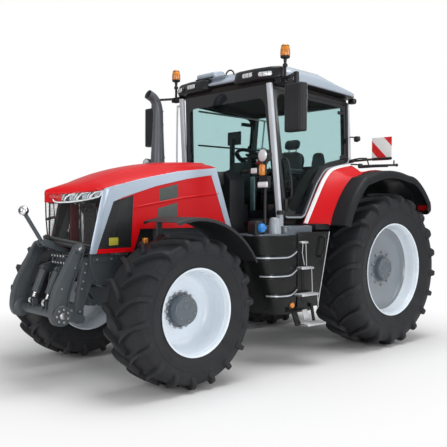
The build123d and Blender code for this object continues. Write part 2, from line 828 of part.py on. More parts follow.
# ---- tanks, steps and exhaust -----------------------------------------------------------------
TANK_PLAN = [(1340, 560), (2100, 560), (2180, 700), (2160, 900), (2070, 1030), (1900, 1090),
             (1340, 1100)]
STEP_X = (1385, 1715)
STEP_Y = (1102, 1262)
STEP_LEVELS = [735, 1005, 1285]
TREAD_T = 34

with BuildPart() as tank:
    flat_plate(TANK_PLAN, TANK_Z[0], TANK_Z[1] - TANK_Z[0])
    # The front leans back under the steered wheel's sweep.
    side_plate(
        [(1340, 690), (1966, 690), (2050, 940), (2178, 1370), (1340, 1370)],
        TANK_PLAN[-1][1],
        TANK_PLAN[-1][1] - TANK_PLAN[0][1],
        Mode.INTERSECT,
    )
    flat_plate(
        [(1345, 640), (1900, 640), (1960, 880), (1900, 1040), (1780, 1085), (1345, 1090)],
        TANK_Z[1],
        105,
    )
    block((1500, 1900), (250, 560), (900, 960))
    block((1500, 1900), (250, 560), (1080, 1140))

with BuildPart() as steps:
    block((1200, 1750), (TANK_PLAN[-1][1] + SEAT, 1113), (620, 1400))
    for level in STEP_LEVELS:
        block(STEP_X, (STEP_Y[0] + 10, STEP_Y[1]), (level - TREAD_T, level))
    block((STEP_X[0], STEP_X[0] + 12), (1112, STEP_Y[1] - 20), (640, STEP_LEVELS[-1]))
    block((1300, 1660), (1130, STEP_Y[1]), (400, 400 + TREAD_T))
    block((1300, 1312), (1130, 1160), (400, 640))
    block((1648, 1660), (1130, 1160), (400, 640))
    block((1300, 1660), (1112, 1142), (620, 650))

STACK_AT = (2170, -690)
STACK_R = 58
CAN_R = 112
with BuildPart() as exhaust:
    with BuildSketch(Plane.XY.offset(1500)):
        with Locations(STACK_AT):
            RegularPolygon(CAN_R, 24)
    extrude(amount=700)
    with BuildSketch(Plane.XY.offset(2200)):
        with Locations(STACK_AT):
            RegularPolygon(STACK_R + 14, 20)
    extrude(amount=420)
    with BuildSketch(Plane.XY.offset(2620)):
        with Locations(STACK_AT):
            RegularPolygon(STACK_R - 12, 20)
    extrude(amount=290)
    tip = Vector(STACK_AT[0], STACK_AT[1], 2900)
    bar(tip - Vector(6, 0, 14), tip + Vector(60, 0, 80), STACK_R - 14, flats=16)
    bar(tip + Vector(50, 0, 72), tip + Vector(135, 0, 104), STACK_R - 14, flats=16)
    block((1880, 2100), (-740, -640), (1560, 1610))
    block((1880, 1950), (-640, -420 - SEAT), (1560, 1610))

HINGE_AT = (2185, 2040)
HINGE_R = 12
HINGE_ARM_Y = (300, 322)
with BuildPart() as firewall:
    cross_plate(
        [(-420, 1300), (420, 1300), (420, 1960), (330, 2060), (-330, 2060), (-420, 1960)],
        1740,
        ENGINE_X[0] - 1740,
    )
    block((1560, 1740), (-300, 300), (1490, 1700))
    # Arms that carry the hood's hinge bar.
    for y_outer in (HINGE_ARM_Y[1], -HINGE_ARM_Y[0]):
        side_plate(
            [(1950, 1900), (1950, 2052), (2190, 2062), (2206, 2020), (2100, 1980)],
            y_outer,
            HINGE_ARM_Y[1] - HINGE_ARM_Y[0],
        )
    cross_pin(HINGE_AT[0], (-HINGE_ARM_Y[1], HINGE_ARM_Y[1]), HINGE_AT[1], HINGE_R)

with BuildPart() as cooling_pack:
    block((3230, 3330), (-330, 330), (1200, 1740))
    block((3360, 3400), (-300, 300), (1200, 1700))
    block((3330, 3360), (-320, 320), (1200, 1240))
    block((3180, 3500), (-240, 240), (1180, 1200))

# ---- cab interior -------------------------------------------------------------------------------
with BuildPart() as seat_base:
    block((380.5, 900), (-230, 230), (1540, 1600))
    block((450, 850), (-190, 190), (1600, 1880))
    block((480, 880), (300, 400), (1900, 1990))
    block((480, 535), (180, 330), (1830, 1900))

with BuildPart() as seat:
    block((540, 960), (-250, 250), (1880 + SEAT, 1990))
    side_plate([(470, 1960), (590, 1990), (545, 2420), (455, 2400)], 240, 480)
    side_plate([(458, 2398), (540, 2412), (522, 2560), (462, 2555)], 130, 260)

WHEEL_CENTRE = (1215, 0, 2255)
STEERING_PLANE = Plane(origin=WHEEL_CENTRE, z_dir=(-0.5, 0, 0.86))
with BuildPart() as dashboard:
    side_plate(
        [(1250, 1540), (1440, 1540), (1500, 2060), (1420, 2200), (1300, 2180), (1330, 1900)],
        110,
        220,
    )
    with BuildSketch(STEERING_PLANE):
        RegularPolygon(195, 24)
        RegularPolygon(163, 24, mode=Mode.SUBTRACT)
    extrude(amount=28)
    with BuildSketch(STEERING_PLANE):
        Rectangle(40, 350)
        Rectangle(180, 40)
    extrude(amount=16)
    bar((1330, 0, 2120), WHEEL_CENTRE, 26)
    block((1290, 1310), (-310, -90), (2430, 2590))
    block((1310, 1360), (-220, -180), (2080, 2500))
    block((1330, 1420), (-230, 0), (2080, 2110))

# ---- hood ---------------------------------------------------------------------------------------
HOOD_REAR = (2190, 452)
NOSE_SIDE = (3610, 403)
SIDE_LEAN = (NOSE_SIDE[1] - HOOD_REAR[1]) / (NOSE_SIDE[0] - HOOD_REAR[0])


def hood_side_y(x):
    """How far out the hood's side plane lies at a station."""
    return HOOD_REAR[1] + SIDE_LEAN * (x - HOOD_REAR[0])


# Hood stations: x, half width, height of the side edge, height of the crown.
HOOD_STATIONS = [
    (2190, hood_side_y(2190), 2085, 2150),
    (2700, hood_side_y(2700), 2028, 2121),
    (3150, hood_side_y(3150), 1938, 2046),
    (3400, hood_side_y(3400), 1876, 1982),
    (3610, hood_side_y(3610), 1822, 1918),
    (3720, 276, 1804, 1886),
    (3892, 44, 1788, 1832),
]
HOOD_SHARES = (-1, -0.84, -0.52, 0, 0.52, 0.84, 1)
HOOD_CURVE = 2.3  # the power by which the hood's top falls from its crown to its sides
HOOD_T = 10
HOOD_EDGE = [(2196, 2084), (2700, 2027), (3150, 1937), (3400, 1875), (3545, 1838)]
HOOD_SIDE = [*HOOD_EDGE, (3700, 1226), (3230, 1232), (3150, 1452), (1975, 1452)]
HOOD_SIDE_PLANE = Plane(
    origin=(*HOOD_REAR, 0), x_dir=(1, SIDE_LEAN, 0), z_dir=(-SIDE_LEAN, 1, 0)
)
SKEW = math.hypot(1, SIDE_LEAN)


def hood_side_plate(points, low, high, mode=Mode.ADD):
    """Adds a plate on the hood's side plane between two distances out from it."""
    with BuildSketch(HOOD_SIDE_PLANE.offset(low)) as outline:
        with BuildLine():
            Polyline(*[((x - HOOD_REAR[0]) * SKEW, -z) for x, z in points], close=True)
        make_face()
    extrude(outline.sketch, amount=high - low, mode=mode)


STRIPE_T = 5
SIDE_MESH = [(3455, 1706), (3236, 1770), (3262, 1280), (3630, 1270)]
VENTS = [
    [(2930, 1844), (2700, 1900), (2700, 1762), (2925, 1722)],
    [(2940, 1652), (2705, 1712), (2705, 1575), (2950, 1515)],
]
STRIPE_OUTER = [(1975, 1452), *HOOD_EDGE, (3700, 1226)]
STRIPE_INNER = [(3638, 1226), (3455, 1712), (3342, 1756), (2976, 1868), (2583, 1954), (2262, 2003),
                (2044, 1452)]
NOSE = (3930, 0)
V_LENGTH = math.dist(NOSE, NOSE_SIDE)
V_ALONG = Vector(NOSE_SIDE[0] - NOSE[0], NOSE_SIDE[1] - NOSE[1], 0) / V_LENGTH
V_PLANE = Plane(
    origin=(*NOSE, 0), x_dir=tuple(V_ALONG), z_dir=(V_ALONG.Y, -V_ALONG.X, 0)
)


def nose_plate(points, low, high, mode=Mode.ADD):
    """Adds a plate on the left face of the nose's V; points are (run from the
    centre line, height)."""
    with BuildSketch(V_PLANE.offset(low)) as outline:
        with BuildLine():
            Polyline(*points, close=True)
        make_face()
    extrude(outline.sketch, amount=high - low, mode=mode)


GRILLE = [(18, 1380), (18, 1688), (60, 1688), (60, 1745), (V_LENGTH - 30, 1790),
          (V_LENGTH - 30, 1330)]
GRILLE_BACK = -34
GRILLE_T = 10
LIGHT_BAND = [(70, 1706), (70, 1758), (V_LENGTH - 12, 1808), (V_LENGTH - 12, 1768)]
GRILLE_SLOTS = 6
SLOT_GAP = 20

with BuildPart() as hood_top:
    for x, half_width, side_z, crown_z in HOOD_STATIONS:
        with BuildSketch(front_plane(x)):
            upper = [
                (half_width * share, crown_z - (crown_z - side_z) * abs(share) ** HOOD_CURVE)
                for share in HOOD_SHARES
            ]
            lower = [(y, z - HOOD_T) for y, z in reversed(upper)]
            with BuildLine():
                Polyline(*upper, *lower, close=True)
            make_face()
    loft(ruled=True)

with BuildPart() as hood_sides:
    hood_side_plate(HOOD_SIDE, -HOOD_T, 0)
    for opening in (SIDE_MESH, *VENTS):
        hood_side_plate(opening, -2 * HOOD_T, HOOD_T, Mode.SUBTRACT)
    mirror(about=Plane.XZ)

with BuildPart() as hood_shell:
    add(hood_top.part)
    add(hood_sides.part)
    # The nose's spine, and ears under the crown that turn on the hinge bar.
    block((3790, 3944), (-40, 40), (1692, 1796))
    block((3884, 3916), (-9, 9), (1380, 1692))
    for side in (1, -1):
        block((HINGE_AT[0] - 24, HINGE_AT[0] + 24), (side * 190, side * 214),
              (HINGE_AT[1], 2136))
        cross_pin(HINGE_AT[0], (side * 190, side * 214), HINGE_AT[1], 24)
        cross_pin(HINGE_AT[0], (side * 180, side * 224), HINGE_AT[1], HINGE_R + FIT, Mode.SUBTRACT)

with BuildPart() as hood_stripes:
    hood_side_plate([*STRIPE_OUTER, *STRIPE_INNER], 0, STRIPE_T)
    mirror(about=Plane.XZ)

with BuildPart() as hood_grilles:
    for opening in (SIDE_MESH, *VENTS):
        hood_side_plate(opening, -HOOD_T + 2, -2)
    nose_plate(GRILLE, GRILLE_BACK, GRILLE_BACK + GRILLE_T)
    slot_run = (V_LENGTH - 100) / GRILLE_SLOTS
    for number in range(GRILLE_SLOTS):
        start = 48 + number * slot_run
        nose_plate(
            [(start, 1400), (start, 1672), (start + slot_run - SLOT_GAP, 1680),
             (start + slot_run - SLOT_GAP, 1400)],
            GRILLE_BACK - 10,
            0,
            Mode.SUBTRACT,
        )
    mirror(about=Plane.XZ)
    add(hood_shell.part, mode=Mode.SUBTRACT)

with BuildPart() as headlights:
    nose_plate(LIGHT_BAND, GRILLE_BACK + GRILLE_T, 4)
    mirror(about=Plane.XZ)
    add(hood_shell.part, mode=Mode.SUBTRACT)

# ---- front lift ------------------------------------------------------------------------------
CRANK_AT = (3745, 625)
ARM_HUB_AT = (3985, 690)
PLATE_Y = (250, 290)
CRANK_Y = (296, 326)
ARM_Y = (356, 414)
CRANK_PIN_R = 20
ARM_PIN_R = 30
CYL_TOP_AT = (3880, 1075)
CYL_EYE_AT = (4002, 778)
CYL_Y = 130
CYL_R = 40
ROD_R = 20
CYL_PIN_R = 14
EYE_SLACK = 8

with BuildPart() as front_lift_frame:
    block((CASTING_X[1], CASTING_X[1] + 40), (-PLATE_Y[1], PLATE_Y[1]), (950, 1180))
    for side in (1, -1):
        y_outer = PLATE_Y[1] if side > 0 else -PLATE_Y[0]
        side_plate(
            [(3610, 1187), (3708, 1190), (3806, 640), (3786, 580), (3706, 580), (3702, 720),
             (3610, 960)],
            y_outer,
            PLATE_Y[1] - PLATE_Y[0],
        )
        side_plate(
            [(3620, 1010), (3620, 1150), (3700, 1150), (CYL_TOP_AT[0] + 20, 1100),
             (CYL_TOP_AT[0] + 20, 1050), (3700, 1010)],
            side * CYL_Y + 60 if side > 0 else side * (CYL_Y + 44),
            16,
        )
        cross_pin(
            CYL_TOP_AT[0], (side * (CYL_Y - 24), side * (CYL_Y + 60)), CYL_TOP_AT[1], CYL_PIN_R
        )
    block((3690, 3740), (-PLATE_Y[0], PLATE_Y[0]), (690, 750))
    for side in (1, -1):
        cross_pin(
            CRANK_AT[0],
            (side * (PLATE_Y[0] - 5), side * (PLATE_Y[1] + 5)),
            CRANK_AT[1],
            CRANK_PIN_R + FIT,
            Mode.SUBTRACT,
        )

with BuildPart() as front_crank:
    for side in (1, -1):
        y_outer = CRANK_Y[1] if side > 0 else -CRANK_Y[0]
        side_plate(
            [(3708, 612), (3718, 652), (3760, 668), (3960, 742), (4020, 735), (4030, 670),
             (3990, 640), (3790, 600), (3740, 585)],
            y_outer,
            CRANK_Y[1] - CRANK_Y[0],
        )
        cross_pin(
            CRANK_AT[0], (side * PLATE_Y[0], side * CRANK_Y[1]), CRANK_AT[1], CRANK_PIN_R
        )
        cross_pin(
            ARM_HUB_AT[0], (side * CRANK_Y[0], side * (ARM_Y[1] + 3)), ARM_HUB_AT[1], ARM_PIN_R
        )
        cross_pin(
            CYL_EYE_AT[0], (side * (CYL_Y - 42), side * (CYL_Y + 42)), CYL_EYE_AT[1], CYL_PIN_R
        )
        for y_ear in (CYL_Y - 42, CYL_Y + 30):
            side_plate(
                [(3955, 700), (3975, 790), (4020, 800), (4026, 700)],
                side * y_ear + (12 if side > 0 else 0),
                12,
            )
    cross_pin(ARM_HUB_AT[0], (-CRANK_Y[0], CRANK_Y[0]), ARM_HUB_AT[1], 42, flats=16)

ARM_OUTLINE = [(3772, 1240), (3790, 1284), (3846, 1292), (3882, 1248), (3925, 1180), (4110, 860),
               (4086, 740), (4050, 640), (3985, 600), (3920, 630), (3893, 700), (3898, 880)]

with BuildPart() as front_arm:
    side_plate(ARM_OUTLINE, ARM_Y[1], ARM_Y[1] - ARM_Y[0])
    cross_pin(
        ARM_HUB_AT[0], (ARM_Y[0] - 5, ARM_Y[1] + 5), ARM_HUB_AT[1], ARM_PIN_R + FIT, Mode.SUBTRACT
    )
    cross_pin(3828, (ARM_Y[0] - 5, ARM_Y[1] + 5), 1238, 19, Mode.SUBTRACT)

CYL_RUN = Vector(CYL_EYE_AT[0] - CYL_TOP_AT[0], 0, CYL_EYE_AT[1] - CYL_TOP_AT[1])
CYL_LENGTH = CYL_RUN.length
CYL_DIR = CYL_RUN / CYL_LENGTH
BARREL_TO = 238


def on_cylinder(distance, y):
    """A point on a front cylinder's axis, measured from its upper pin."""
    point = Vector(CYL_TOP_AT[0], y, CYL_TOP_AT[1]) + CYL_DIR * distance
    return tuple(point)


with BuildPart() as front_barrels:
    for side in (1, -1):
        y = side * CYL_Y
        bar(on_cylinder(22, y), on_cylinder(BARREL_TO, y), CYL_R, flats=16)
        cross_pin(CYL_TOP_AT[0], (y - 20, y + 20), CYL_TOP_AT[1], 30, flats=16)
        cross_pin(CYL_TOP_AT[0], (y - 25, y + 25), CYL_TOP_AT[1], CYL_PIN_R + FIT, Mode.SUBTRACT)
        bar(on_cylinder(40, y), on_cylinder(BARREL_TO + 5, y), ROD_R + FIT, Mode.SUBTRACT)

with BuildPart() as front_rods:
    for side in (1, -1):
        y = side * CYL_Y
        bar(on_cylinder(48, y), on_cylinder(CYL_LENGTH - 30, y), ROD_R)
        cross_pin(
            CYL_EYE_AT[0], (y - 18, y + 18), CYL_EYE_AT[1], CYL_PIN_R + EYE_SLACK + 15, flats=16
        )
        cross_pin(
            CYL_EYE_AT[0], (y - 25, y + 25), CYL_EYE_AT[1], CYL_PIN_R + EYE_SLACK, Mode.SUBTRACT
        )

TOP_LINK_BASE = (3975, 1334)
TOP_LINK_BALL = (4160, 1624)
BALL_R = 42
BALL_STEPS = 8
BALL_FLATS = 12
ball_profile = [
    (-BALL_R * math.cos(math.pi * step / BALL_STEPS), BALL_R * math.sin(math.pi * step / BALL_STEPS))
    for step in range(1, BALL_STEPS)
]
link_ball = facet_ring([(-BALL_R, 0), *ball_profile, (BALL_R, 0)], BALL_FLATS)

with BuildPart() as front_top_link:
    for y_outer in (-40, 60):
        side_plate(
            [(3580, 1180 + SEAT), (3640, 1180 + SEAT), (3700, 1195), (3985, 1300), (4002, 1340),
             (3960, 1362), (3700, 1240), (3580, 1215)],
            y_outer,
            20,
        )
    block((3580, 3640), (-40, 40), (1180 + SEAT, 1200))
    cross_pin(TOP_LINK_BASE[0], (-60, 60), TOP_LINK_BASE[1], 16, flats=12)
    bar(
        (TOP_LINK_BASE[0] - 8, 0, TOP_LINK_BASE[1] - 12),
        (TOP_LINK_BALL[0] - 20, 0, TOP_LINK_BALL[1] - 30),
        19,
        flats=12,
    )
    add(link_ball.part.moved(Location((TOP_LINK_BALL[0], 0, TOP_LINK_BALL[1]))))

# ---- rear lift -----------------------------------------------------------------------------
LINK_AT = (-330, 480)
ATTACH = (-430, -30)
BALL_AT = (-1185, 420)
LINK_PIN_R = 22
ROD_PIN_R = 16
LINK_EYE_Y = (336, 376)
ARM_PLATE_Y = (372, 398)
LIFT_ROD_Y = (404, 430)
LINK_BAR_Y = (436, 476)
BALL_Y = 483
BALL_BORE_R = 18.7

with BuildPart() as hitch_bracket:
    block((-450, -400), (-240, 240), (430, 1190))
    block((-450, -400), (-350, 350), (1060, 1190))
    block((-450, -400), (-330, 330), (420, 560))
    for side in (1, -1):
        side_plate(
            [(-400, 420), (-400, 560), (-300, 540), (-290, 420)],
            320 if side > 0 else -290,
            30,
        )
        side_plate(
            [(-400, 1080), (-400, 1190), (-300, 1190), (-300, 1080)],
            350 if side > 0 else -322,
            28,
        )
        cross_pin(LINK_AT[0], (side * 300, side * 384), LINK_AT[1], LINK_PIN_R)
        cross_pin(
            ROCK_AT[0], (side * 315, side * 360), ROCK_AT[1], ROCK_R + FIT, Mode.SUBTRACT
        )
    bar((-450, 0, 720), (-540, 0, 720), 17.5)
    block((-560, -450), (-110, 110), (800, 812))
    block((-720, -300), (-50, 50), (378, 424))
    block((-450, -300), (-90, 90), (424, 470))
    bar((-660, 0, 360), (-660, 0, 440), 16, Mode.SUBTRACT)
    for y_low, y_high in ((60, 200), (-200, -60)):
        block((-530, -450), (y_low, y_high), (1120, 1300))

LINK_PLAN = [(-300, 340), (-300, 372), (-520, 380), (-640, LINK_BAR_Y[1]),
             (-1140, LINK_BAR_Y[1] + 16), (-1140, LINK_BAR_Y[0] + 16), (-650, LINK_BAR_Y[0]),
             (-540, 340)]


def link_z(x):
    """Height of a lower link's centre line at a station."""
    share = (x - LINK_AT[0]) / (BALL_AT[0] - LINK_AT[0])
    return LINK_AT[1] + share * (BALL_AT[1] - LINK_AT[1])


ATTACH_AT = (LINK_AT[0] + ATTACH[0], LINK_AT[1] + ATTACH[1])
ROD_TOP_AT = (ROCK_AT[0] + ATTACH[0], ROCK_AT[1] + ATTACH[1])

with BuildPart() as lower_links:
    flat_plate(LINK_PLAN, 300, 400)
    side_plate(
        [
            (-300, link_z(-300) + 30),
            (-300, link_z(-300) - 30),
            (-1140, link_z(-1140) - 30),
            (-1140, link_z(-1140) + 30),
        ],
        600,
        400,
        Mode.INTERSECT,
    )
    cross_pin(LINK_AT[0], LINK_EYE_Y, LINK_AT[1], 48, flats=16)
    cross_pin(BALL_AT[0], (BALL_Y - 28, BALL_Y + 22), BALL_AT[1], 53, flats=16)
    cross_pin(ATTACH_AT[0], (LIFT_ROD_Y[0] - 2, LINK_BAR_Y[0] + 10), ATTACH_AT[1], ROD_PIN_R)
    cross_pin(LINK_AT[0], (300, 400), LINK_AT[1], LINK_PIN_R + FIT, Mode.SUBTRACT)
    cross_pin(BALL_AT[0], (BALL_Y - 60, BALL_Y + 60), BALL_AT[1], BALL_BORE_R, Mode.SUBTRACT)
    mirror(about=Plane.XZ)

ROCK_ARM = [(45, 48), (-60, 52), (ATTACH[0] - 26, ATTACH[1] + 26), (ATTACH[0] - 26, ATTACH[1] - 26),
            (-60, -52), (45, -48)]
with BuildPart() as lift_arms:
    cross_pin(ROCK_AT[0], (-ARM_PLATE_Y[0], ARM_PLATE_Y[0]), ROCK_AT[1], ROCK_R)
    for side in (1, -1):
        side_plate(
            [(ROCK_AT[0] + x, ROCK_AT[1] + z) for x, z in ROCK_ARM],
            ARM_PLATE_Y[1] if side > 0 else -ARM_PLATE_Y[0],
            ARM_PLATE_Y[1] - ARM_PLATE_Y[0],
        )
        cross_pin(
            ROD_TOP_AT[0], (side * ARM_PLATE_Y[1], side * (LIFT_ROD_Y[1] + 2)), ROD_TOP_AT[1],
            ROD_PIN_R,
        )

with BuildPart() as lift_rods:
    for side in (1, -1):
        for x, z in (ROD_TOP_AT, ATTACH_AT):
            cross_pin(x, (side * LIFT_ROD_Y[0], side * LIFT_ROD_Y[1]), z, 32, flats=14)
        y_rod = side * (LIFT_ROD_Y[0] + LIFT_ROD_Y[1]) / 2
        bar(
            (ROD_TOP_AT[0], y_rod, ROD_TOP_AT[1] - 20),
            (ATTACH_AT[0], y_rod, ATTACH_AT[1] + 20),
            13,
            flats=10,
        )
        for x, z in (ROD_TOP_AT, ATTACH_AT):
            cross_pin(x, (side * 400, side * 434), z, ROD_PIN_R + FIT, Mode.SUBTRACT)

REAR_TOP_AT = (-520, 1010)
REAR_TOP_EYE = (-645, 1530)
BRACKET_BACK_X = -450 - SEAT
with BuildPart() as rear_top_link:
    for y_outer in (-36, 52):
        side_plate(
            [(BRACKET_BACK_X, 960), (-540, 985), (-545, 1040), (BRACKET_BACK_X, 1060)],
            y_outer,
            16,
        )
    cross_pin(REAR_TOP_AT[0], (-52, 52), REAR_TOP_AT[1], 16, flats=12)
    bar(
        (REAR_TOP_AT[0] - 4, 0, REAR_TOP_AT[1] + 8),
        (REAR_TOP_EYE[0] + 5, 0, REAR_TOP_EYE[1] - 30),
        24,
        flats=12,
    )
    cross_pin(REAR_TOP_EYE[0], (-26, 26), REAR_TOP_EYE[1], 44, flats=16)
    cross_pin(REAR_TOP_EYE[0], (-60, 60), REAR_TOP_EYE[1], 16, Mode.SUBTRACT)

# ---- road equipment at the rear --------------------------------------------------------------
PLATE = 282  # side of a square warning plate
PLATE_AT = (0, 1050, 2390)
PLATE_ARM_FROM = (352, 2225)


def cab_side_point(x, z, out):
    """A point at a distance out from the left side plane of the cab."""
    return Vector(x, cab_side_y(x, z), z) + CAB_NORMAL * out


with BuildPart() as warning_plates:
    block(
        (-3, 3),
        (PLATE_AT[1] - PLATE / 2, PLATE_AT[1] + PLATE / 2),
        (PLATE_AT[2] - PLATE / 2, PLATE_AT[2] + PLATE / 2),
    )
    mirror(about=Plane.XZ)

with BuildPart() as plate_arms:
    root = cab_side_point(*PLATE_ARM_FROM, SEAT)
    elbow = cab_side_point(*PLATE_ARM_FROM, 60)
    low_z = PLATE_AT[2] - PLATE / 2 + 20
    bar(tuple(root), tuple(elbow + CAB_NORMAL * 12), 20, flats=10)
    bar(tuple(elbow), (19.3, 960, low_z), 14, flats=10)
    bar((19.3, 940, low_z), (19.3, 1200, low_z), 16, flats=10)
    block((3.3, 20), (980, 1120), (low_z - 12, low_z + 12))
    mirror(about=Plane.XZ)

with BuildPart() as tail_lamps:
    block((-822, -786.3), (1085, 1240), (1636, 1706))
    mirror(about=Plane.XZ)

# ---- writing ------------------------------------------------------------------------------------
os.makedirs("parts", exist_ok=True)


def both_sides(piece):
    """One part of the left piece and its mirror image."""
    with BuildPart() as pair:
        add(piece.part)
        mirror(about=Plane.XZ)
    return pair


with BuildPart() as amber_lamps:
    add(beacons.part)
    add(indicators.part)
with BuildPart() as brackets:
    add(roof_brackets.part)
    add(lamp_posts.part)
with BuildPart() as floor_and_seat_base:
    add(cab_floor.part)
    add(seat_base.part)

save_pair(rear_tyre, "tyre_rear_left", "tyre_rear_right", REAR_HUB_AT)
save_pair(rear_rim, "rim_rear_left", "rim_rear_right", REAR_HUB_AT)
save_pair(front_tyre, "tyre_front_left", "tyre_front_right", FRONT_HUB_AT)
save_pair(front_rim, "rim_front_left", "rim_front_right", FRONT_HUB_AT)
save_pair(knuckle, "knuckle_left", "knuckle_right")
save_pair(front_guard, "mudguard_left", "mudguard_right")
save_pair(front_arm, "front_arm_left", "front_arm_right")
PIECES = [
    (both_sides(fender), "fenders"),
    (both_sides(fender_extension), "fender_extensions"),
    (both_sides(tank), "tanks"),
    (both_sides(steps), "steps"),
    (front_support, "front_support"),
    (engine, "engine"),
    (transmission, "transmission"),
    (rear_axle, "rear_axle"),
    (front_axle, "front_axle"),
    (cab_frame, "cab_frame"),
    (floor_and_seat_base, "cab_floor"),
    (cab_ceiling, "cab_ceiling"),
    (cab_glass, "cab_glass"),
    (door_frame, "door_frame"),
    (door_glass, "door_glass"),
    (roof, "roof"),
    (roof_pods, "roof_pods"),
    (brackets, "brackets"),
    (amber_lamps, "amber_lamps"),
    (mirrors, "mirrors"),
    (post_lamps, "post_lamps"),
    (exhaust, "exhaust"),
    (firewall, "firewall"),
    (cooling_pack, "cooling_pack"),
    (seat, "seat"),
    (dashboard, "dashboard"),
    (hood_shell, "hood_shell"),
    (hood_stripes, "hood_stripes"),
    (hood_grilles, "hood_grilles"),
    (headlights, "headlights"),
    (front_lift_frame, "front_lift_frame"),
    (front_crank, "front_crank"),
    (front_barrels, "front_cylinder_barrels"),
    (front_rods, "front_cylinder_rods"),
    (front_top_link, "front_top_link"),
    (hitch_bracket, "hitch_bracket"),
    (rear_top_link, "rear_top_link"),
    (lower_links, "lower_links"),
    (lift_arms, "lift_arms"),
    (lift_rods, "lift_rods"),
    (warning_plates, "warning_plates"),
    (plate_arms, "plate_arms"),
    (tail_lamps, "tail_lamps"),
]
for piece, label in PIECES:
    save(piece, label)
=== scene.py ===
"""Farm tractor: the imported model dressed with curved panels, tread, rims, glass, lamps and
paint. Lengths in this script are millimetres in station terms, x forward of the rear axle,
y to the driver's left and z up from the ground, until a mesh is made in metres."""

import json
import math

import bmesh
import bpy
import numpy as np
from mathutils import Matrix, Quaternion, Vector

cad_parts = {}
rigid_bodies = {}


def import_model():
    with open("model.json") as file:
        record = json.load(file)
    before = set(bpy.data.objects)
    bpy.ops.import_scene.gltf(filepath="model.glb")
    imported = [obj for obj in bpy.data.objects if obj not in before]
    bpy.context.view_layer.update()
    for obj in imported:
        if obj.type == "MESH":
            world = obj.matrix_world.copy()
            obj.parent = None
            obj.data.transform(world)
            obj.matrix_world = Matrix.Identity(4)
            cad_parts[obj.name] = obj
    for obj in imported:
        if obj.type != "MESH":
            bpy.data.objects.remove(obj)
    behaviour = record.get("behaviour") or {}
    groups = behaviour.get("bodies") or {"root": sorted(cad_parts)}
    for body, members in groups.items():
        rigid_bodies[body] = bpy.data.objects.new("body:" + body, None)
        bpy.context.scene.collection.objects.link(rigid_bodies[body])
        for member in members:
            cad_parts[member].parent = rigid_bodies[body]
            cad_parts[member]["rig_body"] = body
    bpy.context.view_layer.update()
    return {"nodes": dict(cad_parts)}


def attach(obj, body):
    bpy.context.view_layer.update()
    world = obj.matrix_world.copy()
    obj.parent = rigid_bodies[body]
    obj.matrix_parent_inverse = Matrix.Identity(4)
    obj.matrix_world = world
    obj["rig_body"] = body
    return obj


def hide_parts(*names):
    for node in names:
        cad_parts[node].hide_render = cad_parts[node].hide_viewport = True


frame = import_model()
NODES = frame["nodes"]

REAR_AXLE_X = -1500.0
FLOOR_TOP = -0.002
WHEELBASE = 3050
REAR_RADIUS, FRONT_RADIUS = 925, 712  # tyres, and so the heights of their axles
REAR_Y, FRONT_Y = 950, 915  # middle planes of the left wheels


# ---- meshes ----
def to_metres(points):
    """Station millimetres to the frame's metres: x shifted by the rear axle, all / 1000."""
    return (np.asarray(points, float) + np.array([REAR_AXLE_X, 0.0, 0.0])) / 1000.0


def make_piece(name, points, faces, material, body, slot=None, smooth=35.0, stands_for=()):
    """A mesh object from points and faces, merged, turned outward and shaded smooth up to
    an angle between faces."""
    data = bpy.data.meshes.new(name)
    data.from_pydata(to_metres(points).tolist(), [], [tuple(int(i) for i in f) for f in faces])
    tidy = bmesh.new()
    tidy.from_mesh(data)
    bmesh.ops.remove_doubles(tidy, verts=tidy.verts, dist=2e-5)
    bmesh.ops.recalc_face_normals(tidy, faces=tidy.faces)
    tidy.to_mesh(data)
    tidy.free()
    piece = bpy.data.objects.new(name, data)
    bpy.context.scene.collection.objects.link(piece)
    finish_piece(piece, material, body, smooth, stands_for)
    return piece


def finish_piece(piece, material, body, smooth, stands_for):
    """Shades, paints and seats a piece on its body."""
    data = piece.data
    data.shade_smooth()
    data.set_sharp_from_angle(angle=math.radians(smooth))
    data.materials.clear()
    data.materials.append(material)
    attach(piece, body)
    if stands_for:
        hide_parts(*stands_for)


def grid_faces(rows, columns, close_rows=False, close_columns=False, start=0):
    """Quads of a rows x columns grid of points, wrapped where a direction closes."""
    row = np.arange(rows if close_rows else rows - 1)
    column = np.arange(columns if close_columns else columns - 1)
    i, j = (a.ravel() for a in np.meshgrid(row, column, indexing="ij"))
    up, right = (i + 1) % rows, (j + 1) % columns
    quads = np.stack([i * columns + j, i * columns + right, up * columns + right,
                      up * columns + j], axis=1)
    return (quads + start).tolist()


